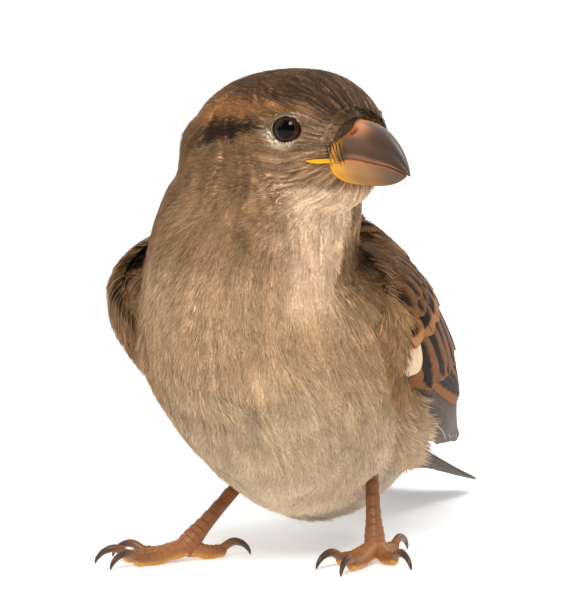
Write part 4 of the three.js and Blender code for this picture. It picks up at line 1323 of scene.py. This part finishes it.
scaly = horn_finish("scaly_skin", 0.48, 700)
claw_horn = horn_finish("claw_horn", 0.3, 800)
for name, (foot, hip, toes) in LEGS.items():
    joint = np.array((*foot, JOINT_UP))
    line = [hip + (joint - hip) * t for t in (-0.1, 0.35, 0.7, 0.9, 1.04)]
    points, faces, up, share, saw = limb(line, SHANK_RADII, 90, 24, 11, 0.16)
    tint = mix(srgb(132, 84, 48), srgb(150, 96, 58), ease(share, 0.5, 1.0))
    tint = tint * (1 - 0.22 * ease(saw, 0.8, 1.0))[:, None]
    build(f"shank_{name}", points, faces, scaly, tint, replaces=[f"tarsus_{name}"])
    for number, (heading, reach) in enumerate(toes, 1):
        length = reach - CLAW_REACH
        line = [outward(foot, heading, 0.2, 2.0)]
        line += [outward(foot, heading, part * length, up) for part, up in TOE_LINE]
        points, faces, up, share, saw = limb(line, TOE_RADII, 72, 28, 9, 0.13, 3.0, 0.16)
        tint = mix(srgb(156, 102, 60), srgb(128, 80, 48), ease(share, 0.3, 1.0))
        tint = mix(tint, srgb(198, 142, 62), ease(-up, 0.1, 0.7))
        tint = tint * (1 - 0.25 * ease(saw, 0.78, 1.0) * ease(up, -0.3, 0.2))[:, None]
        toe = f"toe_{number}_{name}"
        build(f"{toe}_scaled", points, faces, scaly, tint, replaces=[toe])
        line = [outward(foot, heading, length + 0.3 + out, up) for out, up in CLAW_LINE]
        points, faces, up, share, saw = limb(line, CLAW_RADII, 40, 18, 1, 0.0)
        tint = mix(srgb(140, 94, 62), srgb(74, 54, 44), ease(share, 0.05, 0.45))
        tint = mix(tint, srgb(128, 98, 78), ease(-up, 0.0, 0.8) * 0.6)
        claw = f"claw_{number}_{name}"
        build(f"{claw}_horn", points, faces, claw_horn, tint, replaces=[claw])

# ---------------------------------------------------------------- studio
# A white floor and a pale surround, a soft lamp high in front, a weaker one at the bird's right and one
# behind it.
floor_mesh = bpy.data.meshes.new("floor")
floor_mesh.from_pydata([(-3, -3, 0), (3, -3, 0), (3, 3, 0), (-3, 3, 0)], [], [(0, 1, 2, 3)])
floor = bpy.data.objects.new("floor", floor_mesh)
bpy.context.scene.collection.objects.link(floor)
white, shader, add = new_material("floor_white")
add(shader, {"Base Color": (0.93, 0.93, 0.93, 1), "Roughness": 0.8, "Emission Color": (1, 1, 1, 1),
             "Emission Strength": 0.32})
floor_mesh.materials.append(white)

world = bpy.data.worlds.new("studio")
bpy.context.scene.world = world
world.use_nodes = True
add = node_adder(world.node_tree)
way = add("SeparateXYZ", {"Vector": add("TexCoord").outputs["Generated"]}).outputs["Y"]
level = add("MapRange", {"From Min": -0.75, "From Max": 0.35, "To Min": 0.28, "To Max": 1.0, "Value": way})
strength = maths(add, "MAXIMUM", level.outputs["Result"], add("LightPath").outputs["Is Camera Ray"])
add(world.node_tree.nodes["Background"], {"Color": (1, 1, 1, 1), "Strength": strength})


def placed_round(name, data, middle, azimuth, elevation, distance):
    """A lamp or camera that looks at a middle point from an azimuth and elevation in degrees, in metres."""
    a, e = np.radians([azimuth, elevation])
    back = np.array([np.sin(a) * np.cos(e), -np.cos(a) * np.cos(e), np.sin(e)])
    thing = bpy.data.objects.new(name, data)
    thing.location = middle + back * distance
    thing.rotation_euler = Vector(-back).to_track_quat("-Z", "Y").to_euler()
    bpy.context.scene.collection.objects.link(thing)
    return thing


LAMPS = {  # azimuth, elevation, distance, size in metres, power in watts
    "key": (11, 41, 0.9, 0.25, 5.8), "left": (-60, 30, 1.1, 0.6, 1.6), "rim": (150, 45, 1.1, 0.4, 3.0)}
for name, (azimuth, elevation, distance, size, power) in LAMPS.items():
    data = bpy.data.lights.new(name, "AREA")
    data.size, data.energy = size, power
    placed_round(name, data, np.array([0, -0.01, 0.04]), azimuth, elevation, distance)

VIEW = {"azimuth": 19.0, "elevation": 6.5, "distance": 0.6}
AIM, FOCAL = at(0.858, 0.0, 36.69), 250.6
data = bpy.data.cameras.new("camera")
data.lens, data.sensor_width, data.clip_start, data.clip_end = FOCAL, 36.0, 0.01, 20
bpy.context.scene.camera = placed_round("camera", data, (AIM + ORIGIN) / 1000, **VIEW)
bpy.context.scene.view_settings.view_transform = "Standard"

bpy.context.view_layer.update()
